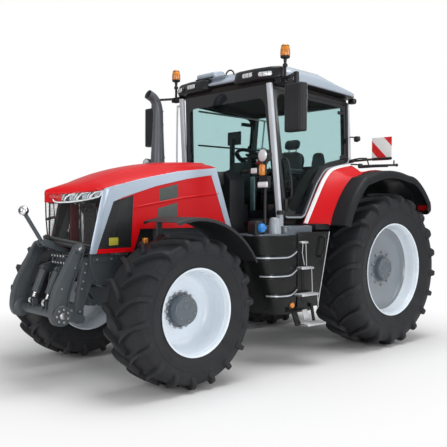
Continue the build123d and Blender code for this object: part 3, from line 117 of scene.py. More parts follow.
class Parts:
    """Several grids gathered into one mesh."""

    def __init__(self):
        self.points, self.faces, self.count = [], [], 0

    def grid(self, p, close_rows=False, close_columns=False, cap_rows=False):
        """Adds a grid of points p[row, column]; cap_rows closes its first and last row."""
        rows, columns = p.shape[:2]
        self.faces += grid_faces(rows, columns, close_rows, close_columns, self.count)
        if cap_rows:
            self.faces.append(list(range(self.count + columns - 1, self.count - 1, -1)))
            last = self.count + (rows - 1) * columns
            self.faces.append(list(range(last, last + columns)))
        self.points.append(p.reshape(-1, 3))
        self.count += rows * columns
        return self

    def solid(self, p):
        """Adds a closed body: rings in rows with both ends capped."""
        return self.grid(p, close_columns=True, cap_rows=True)

    def turned(self, *form, **how):
        """Adds a lathe form whose profile starts and ends on its axis."""
        return self.grid(lathe(*form, **how), close_rows=True)

    def ring(self, *form, **how):
        """Adds a lathe form with a closed section."""
        return self.grid(lathe(*form, **how), close_rows=True, close_columns=True)

    def brick(self, *form):
        """Adds a rounded block."""
        return self.solid(brick(*form))

    def slab(self, *form):
        """Adds a plate that stands between two values of y."""
        return self.solid(slab(*form))

    def pipe(self, points, count, radius, sides):
        """Adds a round pipe along a curve through points."""
        return self.solid(tube(curve_through(points, count), radius, sides))

    def mirrored(self):
        """Adds the mirror image across the tractor's middle plane."""
        points = np.concatenate(self.points)
        faces = [[i + self.count for i in reversed(f)] for f in self.faces]
        self.points.append(points * np.array([1.0, -1.0, 1.0]))
        self.faces += faces
        self.count += len(points)
        return self

    def piece(self, name, material, body="chassis", **how):
        """Makes the gathered grids one object on a body."""
        return make_piece(name, np.concatenate(self.points), self.faces, material, body, **how)


AXIS_FRAMES = {  # along, first across, second across
    "x": ((1, 0, 0), (0, 1, 0), (0, 0, 1)),
    "y": ((0, 1, 0), (0, 0, 1), (1, 0, 0)),
    "z": ((0, 0, 1), (1, 0, 0), (0, 1, 0)),
}


def lathe(profile, centre, axis="y", segments=96, flip=1.0):
    """Points of a turned form: (offset along the axis, radius) carried round the axis."""
    along, first, second = (np.array(v, float) for v in AXIS_FRAMES[axis])
    profile = np.asarray(profile, float)
    turn = np.linspace(0, 2 * np.pi, segments, endpoint=False)
    ring = np.cos(turn)[:, None] * first + np.sin(turn)[:, None] * second
    offset = profile[None, :, 0, None] * along * flip
    return np.asarray(centre, float) + offset + profile[None, :, 1, None] * ring[:, None, :]


def frames_along(path):
    """Two steady cross directions along a path of points."""
    tangent = np.gradient(np.asarray(path, float), axis=0)
    tangent /= np.linalg.norm(tangent, axis=1)[:, None]
    start = np.array([0.0, 0.0, 1.0]) if abs(tangent[0, 2]) < 0.9 else np.array([1.0, 0, 0])
    across = []
    last = np.cross(tangent[0], start)
    for t in tangent:
        last = last - t * np.dot(last, t)
        last /= np.linalg.norm(last)
        across.append(last)
    across = np.array(across)
    return across, np.cross(tangent, across)


def curve_through(points, count):
    """A Catmull-Rom curve through points, sampled evenly in its parameter."""
    p = np.asarray(points, float)
    p = np.vstack([2 * p[0] - p[1], p, 2 * p[-1] - p[-2]])
    t = np.linspace(0, len(points) - 1, count)
    k = np.minimum(t.astype(int), len(points) - 2)
    f = (t - k)[:, None]
    a, b, c, d = p[k], p[k + 1], p[k + 2], p[k + 3]
    return 0.5 * (2 * b + (c - a) * f + (2 * a - 5 * b + 4 * c - d) * f**2
                  + (3 * b - a - 3 * c + d) * f**3)


def path_normals(path):
    """Unit normals of a flat path, each a quarter turn left of the path's step."""
    step = np.gradient(path, axis=0)
    normal = np.column_stack([-step[:, 1], step[:, 0]])
    return normal / np.linalg.norm(normal, axis=1)[:, None]


def tube(path, radius, sides=12):
    """Points of a round tube about a path; the radius may vary along it."""
    path = np.asarray(path, float)
    u, v = frames_along(path)
    turn = np.linspace(0, 2 * np.pi, sides, endpoint=False)
    radius = np.broadcast_to(np.asarray(radius, float), (len(path),))[:, None, None]
    ring = np.cos(turn)[None, :, None] * u[:, None] + np.sin(turn)[None, :, None] * v[:, None]
    return path[:, None] + radius * ring


def rounded_rectangle(width, height, radius, corner_points=5):
    """A rectangle's outline with quarter-circle corners, centred on the origin."""
    turn = np.linspace(0, np.pi / 2, corner_points)
    corners = []
    for number, (sx, sy) in enumerate(((1, 1), (-1, 1), (-1, -1), (1, -1))):
        angle = turn + number * np.pi / 2
        corners.append(np.column_stack([
            sx * (width / 2 - radius) + radius * np.cos(angle),
            sy * (height / 2 - radius) + radius * np.sin(angle)]))
    return np.concatenate(corners)


def inset(outline, distance):
    """A closed outline moved inward along its corner bisectors."""
    outline = np.asarray(outline, float)
    ahead = np.roll(outline, -1, 0) - outline
    behind = outline - np.roll(outline, 1, 0)
    ahead /= np.linalg.norm(ahead, axis=1)[:, None]
    behind /= np.linalg.norm(behind, axis=1)[:, None]
    left = np.stack([-ahead[:, 1], ahead[:, 0]], 1) + np.stack([-behind[:, 1], behind[:, 0]], 1)
    left /= np.maximum((left**2).sum(1) / 2, 0.35)[:, None]
    area = 0.5 * np.sum(outline[:, 0] * np.roll(outline[:, 1], -1)
                        - outline[:, 1] * np.roll(outline[:, 0], -1))
    return outline + left * distance * np.sign(area)


def at_height(outline, height):
    """A flat outline with one height for all its points."""
    return np.column_stack([outline, np.full(len(outline), height)])


def pressed(outline, low, high, edge=6.0, steps=3, place=None):
    """A slab of an outline between two heights, its rims rolled over with a quarter
    circle of the edge radius; place carries (a, b, height) into the room."""
    turn = np.linspace(0, np.pi / 2, steps + 1)
    levels = [(edge * (1 - math.sin(t)), low + edge * (1 - math.cos(t))) for t in turn]
    levels += [(edge * (1 - math.sin(t)), high - edge * (1 - math.cos(t))) for t in turn[::-1]]
    rings = np.array([at_height(inset(outline, back), height) for back, height in levels])
    return place(rings) if place else rings


def upright(at, along, up=(0, 0, 1)):
    """Carries flat (a, b, height) points into the room: a along one way, b up, and the
    height out to the side of both."""
    at, along, up = (np.asarray(v, float) for v in (at, along, up))
    along = along / np.linalg.norm(along)
    out = np.cross(along, up)
    out /= np.linalg.norm(out)
    up = np.cross(out, along)

    def place(p):
        return at + p[..., 0:1] * along + p[..., 1:2] * up + p[..., 2:3] * out

    return place


def brick(low, high, edge=8.0, corner=None):
    """A block with rounded upright corners and rolled rims, between two corners."""
    low, high = np.minimum(low, high).astype(float), np.maximum(low, high).astype(float)
    size = high - low
    edge = min(edge, 0.45 * size.min())
    corner = min(corner or edge * 1.5, 0.48 * min(size[0], size[1]))
    rings = pressed(rounded_rectangle(size[0], size[1], corner), low[2], high[2], edge)
    rings[..., 0] += (low[0] + high[0]) / 2
    rings[..., 1] += (low[1] + high[1]) / 2
    return rings


def slab(outline, low_y, high_y, edge=6.0):
    """A plate with an outline of (station, height) that stands between two values of y."""
    low_y, high_y = min(low_y, high_y), max(low_y, high_y)
    return pressed(outline, low_y, high_y, edge, 3, lambda p: p[..., [0, 2, 1]])


def rounded(outline, radius, points=6):
    """A closed outline whose corners are cut back by the radius and bridged by curves."""
    outline = np.asarray(outline, float)
    made = []
    for before, corner, after in zip(np.roll(outline, 1, 0), outline, np.roll(outline, -1, 0)):
        a, b = before - corner, after - corner
        cut_a = min(radius / np.linalg.norm(a), 0.45)
        cut_b = min(radius / np.linalg.norm(b), 0.45)
        for t in np.linspace(0, 1, points):
            made.append((1 - t) ** 2 * (corner + a * cut_a) + 2 * t * (1 - t) * corner + t**2
                        * (corner + b * cut_b))
    return np.array(made)


def moulding(path, out, width, proud, sunk=2.0):
    """A strip with a crowned section laid along a path in the room: out gives the way it
    stands proud, at one vector or one a point."""
    path = np.asarray(path, float)
    out = np.broadcast_to(np.asarray(out, float), path.shape)
    tangent = np.gradient(path, axis=0)
    tangent /= np.linalg.norm(tangent, axis=1)[:, None]
    out = out - tangent * np.sum(out * tangent, axis=1)[:, None]
    out = out / np.linalg.norm(out, axis=1)[:, None]
    across = np.cross(tangent, out)
    section = [(-0.5, -sunk), (-0.5, 0.45 * proud), (-0.36, 0.9 * proud), (0, proud),
               (0.36, 0.9 * proud), (0.5, 0.45 * proud), (0.5, -sunk)]
    return np.stack([path + across * width * a + out * b for a, b in section], axis=1)


def ball(centre, radius, rows=14):
    """A sphere turned about the upright axis."""
    turn = np.linspace(-np.pi / 2, np.pi / 2, rows)
    profile = np.column_stack([radius * np.sin(turn), radius * np.cos(turn)])
    profile[0, 1] = profile[-1, 1] = 0.0
    return lathe(profile, centre, axis="z", segments=28)


# ---- materials ----
def plug(made, inputs):
    """Fills a node's inputs, given by name or number, from values or from sockets to link."""
    for key, value in dict(inputs).items():
        if isinstance(value, bpy.types.NodeSocket):
            made.id_data.links.new(value, made.inputs[key])
        else:
            made.inputs[key].default_value = value
    return made


def node(tree, kind, inputs=(), **settings):
    """A new node with its settings and its inputs filled."""
    made = tree.nodes.new(kind)
    for key, value in settings.items():
        setattr(made, key, value)
    return plug(made, inputs)


def maths(tree, operation, *inputs, clamp=False):
    """The result of one sum on values or sockets."""
    return node(tree, "ShaderNodeMath", enumerate(inputs), operation=operation,
                use_clamp=clamp).outputs[0]


def new_material(name):
    """An empty finish: the material, its tree and its shader."""
    material = bpy.data.materials.new(name)
    material.use_nodes = True
    return material, material.node_tree, material.node_tree.nodes["Principled BSDF"]


def object_place(tree):
    """Object coordinates, whole and split into x, y and z."""
    place = node(tree, "ShaderNodeTexCoord").outputs["Object"]
    return place, node(tree, "ShaderNodeSeparateXYZ", {0: place}).outputs


def new_group(name, inputs, outputs):
    """An empty shader node group; each input comes with its default, and a socket whose
    label ends in Colour is a colour, any other a number."""
    tree = bpy.data.node_groups.new(name, "ShaderNodeTree")

    def socket(label, way):
        kind = "NodeSocketColor" if label.endswith("Colour") else "NodeSocketFloat"
        return tree.interface.new_socket(label, in_out=way, socket_type=kind)

    for label, default in inputs.items():
        socket(label, "INPUT").default_value = default
    for label in outputs:
        socket(label, "OUTPUT")
    taken, given = tree.nodes.new("NodeGroupInput"), tree.nodes.new("NodeGroupOutput")
    return tree, taken.outputs, given


def build_grain():
    """Fine grain: noise at one scale as a height, and a slower noise that shifts a colour
    lighter and darker and the roughness with it."""
    tree, taken, given = new_group(
        "surface_grain",
        {"Colour": (0.5, 0.5, 0.5, 1), "Roughness": 0.4, "Grain Scale": 400.0,
         "Cloud Scale": 5.0, "Variation": 0.1},
        ("Colour", "Roughness", "Height"))
    place = node(tree, "ShaderNodeTexCoord").outputs["Object"]
    grain, cloud = (
        node(tree, "ShaderNodeTexNoise", {"Vector": place, "Scale": taken[scale],
                                          "Detail": detail}).outputs["Fac"]
        for scale, detail in (("Grain Scale", 3.0), ("Cloud Scale", 4.0)))
    shift = maths(tree, "MULTIPLY", maths(tree, "SUBTRACT", cloud, 0.5), taken["Variation"])
    tone = node(tree, "ShaderNodeHueSaturation", {
        "Color": taken["Colour"], "Value": maths(tree, "MULTIPLY_ADD", shift, 2.0, 1.0)})
    plug(given, {"Colour": tone.outputs["Color"], "Height": grain,
                 "Roughness": maths(tree, "ADD", taken["Roughness"], shift, clamp=True)})
    return tree


def build_dust():
    """Road dust: a mask that grows toward the ground and breaks up with noise, mixed over
    a colour and a roughness."""
    tree, taken, given = new_group(
        "road_dust",
        {"Colour": (0.5, 0.5, 0.5, 1), "Roughness": 0.4,
         "Dust Colour": (0.24, 0.22, 0.2, 1), "Amount": 0.2, "Reach": 1.2},
        ("Colour", "Roughness"))
    place, split = object_place(tree)
    fall = maths(tree, "DIVIDE", split["Z"], taken["Reach"])
    low = maths(tree, "SUBTRACT", 1.0, fall, clamp=True)
    cloud = node(tree, "ShaderNodeTexNoise", {"Vector": place, "Scale": 7.0, "Detail": 6.0})
    patch = node(tree, "ShaderNodeMapRange", {
        "Value": cloud.outputs["Fac"], "From Min": 0.35, "From Max": 0.7})
    both = maths(tree, "MULTIPLY", low, patch.outputs["Result"])
    mask = maths(tree, "MULTIPLY", both, taken["Amount"], clamp=True)
    mix = node(tree, "ShaderNodeMix", {
        "Factor": mask, 6: taken["Colour"], 7: taken["Dust Colour"]}, data_type="RGBA")
    rough = maths(tree, "MULTIPLY_ADD", mask, 0.5, taken["Roughness"], clamp=True)
    plug(given, {"Colour": mix.outputs[2], "Roughness": rough})
    return tree


GRAIN, DUST = build_grain(), build_dust()


def finish(name, colour, roughness, metallic=0.0, coat=0.0, grain=(400.0, 0.02),
           cloud=(5.0, 0.1), dust=0.0, sheen=0.0, specular=0.5):
    """A finish: grain and dust groups feed one Principled shader. grain is (scale, bump
    height in mm) and cloud is (scale, variation)."""
    material, tree, shader = new_material(name)
    group = node(tree, "ShaderNodeGroup", node_tree=GRAIN)
    plug(group, {"Colour": (*colour, 1), "Roughness": roughness, "Grain Scale": grain[0],
                 "Cloud Scale": cloud[0], "Variation": cloud[1]})
    coloured = group
    if dust:
        coloured = node(tree, "ShaderNodeGroup", node_tree=DUST)
        plug(coloured, {"Amount": dust, "Colour": group.outputs["Colour"],
                        "Roughness": group.outputs["Roughness"]})
    bump = node(tree, "ShaderNodeBump", {
        "Strength": 1.0, "Distance": grain[1] / 1000.0, "Height": group.outputs["Height"]})
    plug(shader, {
        "Base Color": coloured.outputs["Colour"], "Roughness": coloured.outputs["Roughness"],
        "Normal": bump.outputs["Normal"], "Metallic": metallic, "Coat Weight": coat,
        "Coat Roughness": 0.04, "Sheen Weight": sheen, "Specular IOR Level": specular})
    return material


def glass(name, colour, roughness=0.0, ior=1.45):
    """Clear glass or plastic: full transmission with a plain tint."""
    material, _, shader = new_material(name)
    plug(shader, {"Base Color": (*colour, 1), "Roughness": roughness, "Transmission Weight": 1.0,
                  "IOR": ior})
    return material


RED = finish("hood_red_paint", (0.58, 0.002, 0.006), 0.30, grain=(900, 0.004), cloud=(3, 0.03),
             specular=0.28)
SILVER = finish("silver_paint", (0.52, 0.56, 0.61), 0.28, metallic=0.35, coat=0.6,
                grain=(1500, 0.004), cloud=(4, 0.05))
STRIPE = finish("stripe_silver_blue", (0.42, 0.50, 0.60), 0.30, metallic=0.35, coat=0.6,
                grain=(1500, 0.004), cloud=(4, 0.05))
CAST = finish("dark_cast_paint", (0.062, 0.073, 0.083), 0.42, coat=0.15, grain=(160, 0.25),
              cloud=(9, 0.14), dust=0.2, specular=0.3)
BLACK = finish("black_paint", (0.013, 0.014, 0.016), 0.3, grain=(700, 0.01), cloud=(8, 0.1),
               specular=0.35)
PLASTIC = finish("black_moulded_plastic", (0.022, 0.023, 0.026), 0.5, grain=(900, 0.05),
                 cloud=(12, 0.12), specular=0.25)
TANK = finish("tank_dark_plastic", (0.0075, 0.008, 0.008), 0.26, grain=(700, 0.015),
              cloud=(5, 0.12), specular=0.3)
RUBBER = finish("edge_rubber", (0.013, 0.014, 0.016), 0.5, grain=(600, 0.06), cloud=(9, 0.12),
                specular=0.2)
TYRE = finish("tyre_rubber", (0.020, 0.021, 0.024), 0.5, grain=(260, 0.15), cloud=(16, 0.2),
              dust=0.06, specular=0.2)
RIM = finish("rim_silver_paint", (0.74, 0.81, 0.88), 0.28, metallic=0.0, coat=0.4,
             grain=(1200, 0.004), cloud=(5, 0.05), dust=0.06)
HUB = finish("hub_grey_paint", (0.10, 0.12, 0.14), 0.4, coat=0.2, grain=(300, 0.06),
             cloud=(12, 0.1), dust=0.1)
ROOF = finish("roof_white_plastic", (0.36, 0.42, 0.49), 0.3, coat=0.4, grain=(900, 0.01),
              cloud=(3, 0.04))
LINER = finish("cab_liner", (0.034, 0.030, 0.029), 0.8, grain=(1200, 0.15), cloud=(20, 0.12),
               specular=0.1)
FABRIC = finish("seat_fabric", (0.035, 0.036, 0.04), 0.9, grain=(1600, 0.4), cloud=(30, 0.2),
                sheen=0.4)
ALLOY = finish("step_aluminium", (0.62, 0.63, 0.65), 0.35, metallic=0.9, grain=(500, 0.03),
               cloud=(14, 0.1), dust=0.15)
CHROME = finish("bright_chrome", (0.86, 0.87, 0.88), 0.08, metallic=1.0, grain=(900, 0.003),
                cloud=(9, 0.04))
STEEL = finish("plated_steel", (0.45, 0.45, 0.46), 0.35, metallic=0.9, grain=(700, 0.02),
               cloud=(20, 0.15))
STACK = finish("stack_dark_metal", (0.10, 0.11, 0.125), 0.36, metallic=0.3, grain=(260, 0.06),
               cloud=(8, 0.15))
CORE = finish("cooler_core", (0.16, 0.16, 0.165), 0.55, metallic=0.5, grain=(300, 0.3),
              cloud=(30, 0.2))
VENT = finish("vent_mesh_grey", (0.085, 0.10, 0.095), 0.5, grain=(500, 0.5), cloud=(20, 0.2))
WINDOW = glass("window_glass", (0.62, 0.765, 0.765), ior=1.12)
LENS = glass("clear_lens", (0.93, 0.95, 0.96), roughness=0.02, ior=1.3)
AMBER = finish("amber_lens", (0.62, 0.21, 0.02), 0.18, coat=0.6, grain=(120, 0.3),
               cloud=(40, 0.35))
LAMP_RED = finish("red_lens", (0.45, 0.01, 0.012), 0.2, coat=0.5, grain=(120, 0.2),
                  cloud=(40, 0.2))
BLUE = finish("blue_cap", (0.02, 0.22, 0.62), 0.35, coat=0.2, grain=(500, 0.03))
LIGHT_GREY = finish("filler_grey", (0.30, 0.33, 0.37), 0.35, coat=0.3, grain=(600, 0.01),
                    cloud=(5, 0.06))
SCREEN = finish("screen_glass", (0.006, 0.007, 0.01), 0.08, coat=0.5, grain=(900, 0.001))
# A darker grey: on the rear wheels it paints the shade in the dished disc; in the cab it is the
# trims' own grey.
DISC_SHADE_AND_TRIM_GREY = finish("rear_disc_shade_and_trim_grey", (0.22, 0.245, 0.27), 0.32, metallic=0.1, coat=0.3,
              grain=(900, 0.004))
LAMP_BOWL = finish("lamp_bowl", (0.72, 0.74, 0.76), 0.16, metallic=0.35, coat=0.5,
                   grain=(300, 0.02))
YELLOW = finish("yellow_mark", (0.38, 0.34, 0.03), 0.5, grain=(600, 0.02))
DECK = finish("deck_grey_plastic", (0.075, 0.092, 0.115), 0.35, coat=0.3, grain=(600, 0.01),
              cloud=(5, 0.06))
PILLAR = finish("pillar_silver", (0.58, 0.62, 0.67), 0.3, metallic=0.1, coat=0.4,
                grain=(900, 0.004))
WHITE_TRIM = finish("white_trim", (0.82, 0.83, 0.84), 0.3, coat=0.4, grain=(900, 0.004))


def striped(name):
    """Warning plate: slanted bands from Object coordinates, red where the fraction of
    (|y| + z) * 3.01 + 0.746 is over 0.61."""
    white, red = (0.85, 0.85, 0.85, 1), (0.7, 0.009, 0.013, 1)
    material = finish(name, white[:3], 0.25, coat=0.3, grain=(900, 0.01))
    tree = material.node_tree
    _, split = object_place(tree)
    total = maths(tree, "ADD", maths(tree, "ABSOLUTE", split["Y"]), split["Z"])
    part = maths(tree, "FRACT", maths(tree, "MULTIPLY_ADD", total, 3.01, 0.746))
    mix = node(tree, "ShaderNodeMix", {
        "Factor": maths(tree, "GREATER_THAN", part, 0.61), 6: white, 7: red},
        data_type="RGBA")
    plug(tree.nodes["Principled BSDF"], {"Base Color": mix.outputs[2]})
    return material


PLATE = striped("red_white_plate")


def perforated(name, colour, pitch, open_share, across):
    """A fine wire screen: its holes, on a square pitch of Object coordinates, let light
    through by alpha."""
    material = finish(name, colour, 0.45, metallic=0.3, grain=(500, 0.1))
    tree = material.node_tree
    _, split = object_place(tree)
    gaps = [maths(tree, "LESS_THAN", maths(tree, "FRACT", maths(
        tree, "MULTIPLY", split[way], 1000.0 / pitch)), open_share) for way in (across, "Z")]
    wire = maths(tree, "SUBTRACT", 1.0, maths(tree, "MULTIPLY", *gaps))
    plug(tree.nodes["Principled BSDF"], {"Alpha": wire})
    return material


SCREEN_MESH = perforated("front_screen_mesh", (0.02, 0.021, 0.023), 7.0, 0.91, "Y")
SIDE_SCREEN = perforated("side_screen_mesh", (0.02, 0.021, 0.023), 9.0, 0.45, "X")


# ---- solids with rolled edges ----
def dress(label, material, edge, keep=None):
    """Stands a copy of a CAD node in its place: merged, its flat faces joined, and its
    sharp edges rolled by a bevel of the given radius in mm. Where keep is given, only
    faces whose middle it accepts, in station millimetres, stay."""
    source = NODES[label]
    data = source.data.copy()
    data.name = label + "_skin"
    tidy = bmesh.new()
    tidy.from_mesh(data)
    bmesh.ops.remove_doubles(tidy, verts=tidy.verts, dist=2e-5)
    bmesh.ops.dissolve_limit(tidy, angle_limit=math.radians(0.6), verts=tidy.verts,
                             edges=tidy.edges)
    if keep:
        gone = [face for face in tidy.faces
                if not keep(*(1000.0 * v - o for v, o in
                              zip(face.calc_center_median(), (REAR_AXLE_X, 0.0, 0.0))))]
        bmesh.ops.delete(tidy, geom=gone, context="FACES")
    tidy.to_mesh(data)
    tidy.free()
    piece = bpy.data.objects.new(label + "_skin", data)
    bpy.context.scene.collection.objects.link(piece)
    finish_piece(piece, material, source["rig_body"], 35.0, (label,))
    bevel = piece.modifiers.new("rolled_edges", "BEVEL")
    bevel.width = edge / 1000.0
    bevel.segments = 2
    bevel.limit_method = "ANGLE"
    bevel.angle_limit = math.radians(38)
    bevel.use_clamp_overlap = True
    bevel.harden_normals = False


for label, material, edge in (
    ("engine", CAST, 8), ("transmission", CAST, 10), ("rear_axle", CAST, 8),
    ("front_axle", CAST, 8), ("front_support", CAST, 10), ("front_lift_frame", CAST, 4),
    ("front_crank", CAST, 4), ("front_cylinder_barrels", CAST, 3),
    ("front_cylinder_rods", CHROME, 2),
    ("front_top_link", CAST, 3), ("hitch_bracket", CAST, 4), ("lower_links", CAST, 5),
    ("lift_arms", CAST, 4), ("lift_rods", BLACK, 3), ("knuckle_left", CAST, 5),
    ("knuckle_right", CAST, 5), ("cab_frame", BLACK, 5), ("cab_floor", LINER, 5),
    ("cab_ceiling", LINER, 5), ("door_frame", BLACK, 3), ("brackets", BLACK, 4),
    ("plate_arms", BLACK, 2), ("firewall", BLACK, 8), ("cooling_pack", CORE, 3),
    ("mirrors", PLASTIC, 14), ("dashboard", PLASTIC, 5), ("rear_top_link", CAST, 4),
    ("tail_lamps", LAMP_RED, 5), ("warning_plates", PLATE, 1),
):
    dress(label, material, edge)
for label in ("cab_glass", "door_glass"):
    NODES[label].data.materials.clear()
    NODES[label].data.materials.append(WINDOW)


# ---- tyres ----
def tyre_profile(radius, half, seat_r, bead, lug_h, count=61):
    """The carcass's outer section as points (offset, radius): a flat crown that rolls over
    the shoulder into a bulged side wall and back in to the bead."""
    crown = radius - lug_h
    wall = crown - seat_r
    right = [(0.0, crown), (0.45 * half, crown - 3), (0.78 * half, crown - 14),
             (0.93 * half, crown - 0.12 * wall), (0.985 * half, crown - 0.28 * wall),
             (0.99 * half, crown - 0.48 * wall), (0.94 * half, crown - 0.70 * wall),
             (bead + 4, seat_r + 26), (bead, seat_r + 4)]
    return curve_through(right, count)


def make_tyre(label, body, centre, radius, half, seat_r, bead, lugs, lug_h):
    """Carcass turned about the axle, and curved lugs laid along its section: the lug's
    middle line runs from the crown's centre, which leads, to below the shoulder."""
    section = tyre_profile(radius, half, seat_r, bead, lug_h)
    whole = np.vstack([section[::-1] * [-1, 1], section[1:]])
    closed = np.vstack([whole, [[bead - 20, seat_r + 1], [-bead + 20, seat_r + 1]]])
    parts = Parts()
    parts.ring(closed, centre, segments=144)
    # Distances along the section and its outward normal, for the lugs.
    normal = path_normals(section)
    length = np.concatenate([[0], np.cumsum(np.linalg.norm(np.diff(section, axis=0), axis=1))])
    reach = 1.22 * half
    along = np.linspace(-0.045 * half, reach, 20)
    lug_width = np.interp(along, [-20, 0.3 * half, reach], [0.042, 0.046, 0.062]) * radius * 1.05
    height = lug_h * np.interp(along, [-0.05 * half, 0.95 * half, 1.12 * half, reach],
                               [1.0, 1.0, 0.45, 0.12])
    # Cross-section of a lug: (share of the half width, share of the height).
    shape = np.array([(-1.45, -0.12), (-1.02, 0.86), (-0.88, 1.0), (0.88, 1.0), (1.02, 0.86),
                      (1.45, -0.12)])
    centre = np.asarray(centre, float)
    for number in range(lugs):
        hand = 1 if number % 2 == 0 else -1
        start = 2 * math.pi * number / lugs
        lead = 0.135 - 0.30 * (np.clip(along / half, 0, 1.3) ** 0.82) + 0.05 * (
            np.clip(along / half, 0, 1.3) ** 3)
        y = np.interp(np.abs(along), length, section[:, 0]) * np.sign(along + 1e-9)
        r = np.interp(np.abs(along), length, section[:, 1])
        ny = np.interp(along, length, normal[:, 0])
        nr = np.interp(along, length, normal[:, 1])
        up = shape[None, :, 1] * height[:, None]
        top_y = (y[:, None] + ny[:, None] * up) * hand
        top_r = np.minimum(r[:, None] + nr[:, None] * up, radius)
        turn = start + lead[:, None] + shape[None, :, 0] * (lug_width / 2)[:, None] / top_r
        points = np.stack([top_r * np.sin(turn), top_y, top_r * np.cos(turn)], axis=-1) + centre
        parts.solid(points)
    # Raised rings on both side walls.
    for hand in (1, -1):
        for share in (0.34, 0.62):
            place = np.interp(share * length[-1] + 0.30 * length[-1] * (1 - share), length,
                              np.arange(len(section)))
            y0 = np.interp(place, np.arange(len(section)), section[:, 0])
            r0 = np.interp(place, np.arange(len(section)), section[:, 1])
            bead_ring = [(y0 - 2, r0 - 7), (y0 + 3.0, r0 - 3), (y0 + 3.0, r0 + 3),
                         (y0 - 2, r0 + 7)]
            bead_ring = np.array([(o * hand, rr) for o, rr in bead_ring])
            parts.ring(bead_ring, centre, segments=144)
    return parts.piece(label + "_tread", TYRE, body, slot="tyre_rubber", smooth=30,
                       stands_for=(label,))


WHEELS = (
    # place, radius, half width, seat, bead offset, lugs, lug height
    ("rear", 0, REAR_Y, REAR_RADIUS, 335, 540, 286, 40, 45),
    ("front", WHEELBASE, FRONT_Y, FRONT_RADIUS, 285, 390, 241, 36, 42),
)
for place, x, y, radius, half, seat_r, bead, lugs, lug_h in WHEELS:
    for side, hand in (("left", 1), ("right", -1)):
        make_tyre(f"tyre_{place}_{side}", f"wheel_{place}_{side}", (x, y * hand, radius), radius,
                  half, seat_r, bead, lugs, lug_h)


# ---- rims ----
def nut_ring(parts, centre, hand, ring_r, offset, count, size, height, turn0=0.0):
    """Hexagon nuts with a stud end each, on a circle about the axle."""
    for number in range(count):
        turn = turn0 + 2 * math.pi * number / count
        at = (centre[0] + ring_r * math.sin(turn), centre[1], centre[2] + ring_r * math.cos(turn))
        nut = [(offset - 4, 0), (offset - 4, size), (offset + height, size),
               (offset + height + 2, size * 0.8), (offset + height + 2, 0)]
        parts.turned(nut, at, segments=6, flip=hand)
        stud = [(offset, 0), (offset, size * 0.5), (offset + height + 12, size * 0.5),
                (offset + height + 14, size * 0.3), (offset + height + 14, 0)]
        parts.turned(stud, at, segments=10, flip=hand)


def make_rim(label, body, centre, hand, seat_r, lip, dish, disc_r, disc_shade_paint=None):
    """A rim turned from its section: rolled lips, a stepped well, and the dished disc."""
    outer = [(lip - 16, seat_r + 1), (lip - 12, seat_r + 13), (lip - 5, seat_r + 17),
             (lip, seat_r + 14), (lip, seat_r + 6), (lip - 6, seat_r - 2), (lip - 22, seat_r - 8),
             (lip - 46, seat_r - 11), (lip - 52, seat_r - 17)]
    steps = np.linspace(lip - 52, dish + 70, 5)
    fall = np.linspace(seat_r - 17, seat_r - 34, 5)
    well = []
    for s0, s1, f0, f1 in zip(steps[:-1], steps[1:], fall[:-1], fall[1:]):
        well += [(s0 - 4, f0), (s1 + 8, f0 - 1), (s1 + 2, f1)]
    disc = [(dish + 34, seat_r - 42), (dish + 8, disc_r + 8), (dish, disc_r - 12),
            (dish, disc_r - 60), (dish + 3, disc_r - 74), (dish + 3, 60)]
    back = [(dish - 14, 60), (dish - 14, disc_r - 10), (dish - 50, seat_r - 40),
            (-lip + 50, seat_r - 24), (-lip, seat_r + 4), (-lip + 3, seat_r + 16),
            (-lip + 10, seat_r + 15), (-lip + 16, seat_r + 1)]
    parts = Parts()
    parts.ring(outer + well + disc + back, centre, segments=112, flip=hand)
    if disc_shade_paint:
        # A darker shell laid over the disc's outer face: painted shade in the dish.
        face = [(a + 2, min(r, seat_r - 44)) for a, r in disc]
        coat = Parts()
        shell_points = face + [(a - 3, r) for a, r in face[::-1]]
        coat.ring(shell_points, centre, segments=112, flip=hand)
        coat.piece(label + "_disc", disc_shade_paint, body, slot="rim_silver", smooth=40)
    return parts.piece(label + "_dish", RIM, body, slot="rim_silver", smooth=40,
                       stands_for=(label,))


def make_hub(label, body, centre, hand, hub_r, dish, face, ring_r, count, face_nuts):
    """The final drive's drum with a rolled rim, a raised cap and its nuts."""
    drum = [(dish - 6, hub_r + 26), (dish + 10, hub_r + 26), (dish + 13, hub_r + 21),
            (dish + 13, hub_r + 2), (face - 22, hub_r), (face - 10, hub_r - 3),
            (face - 2, hub_r - 12), (face - 1, hub_r - 18), (face - 4, hub_r - 24),
            (face - 4, 40), (face, 34), (face, 0)]
    parts = Parts()
    parts.turned(drum, centre, segments=80, flip=hand)
    parts.piece(label + "_drum", HUB, body, slot="dark_cast", smooth=38)
    nuts = Parts()
    nut_ring(nuts, centre, hand, ring_r, dish + 10, count, 15, 12)
    nut_ring(nuts, centre, hand, hub_r - 40, face - 4, face_nuts, 8, 5, 0.2)
    nuts.piece(label + "_nuts", STEEL, body, slot="dark_cast", smooth=25)


for side, hand in (("left", 1), ("right", -1)):
    rear, front = f"wheel_rear_{side}", f"wheel_front_{side}"
    at = (0, REAR_Y * hand, REAR_RADIUS)
    # The rear discs take the darker grey shell: painted shade in their dish.
    make_rim(f"rim_rear_{side}", rear, at, hand, 540, 300, 100, 470, DISC_SHADE_AND_TRIM_GREY)
    make_hub(f"hub_rear_{side}", rear, at, hand, 140, 103, 178, 200, 10, 8)
    at = (WHEELBASE, FRONT_Y * hand, FRONT_RADIUS)
    make_rim(f"rim_front_{side}", front, at, hand, 390, 255, -15, 320)
    make_hub(f"hub_front_{side}", front, at, hand, 136, -12, 98, 168, 16, 6)


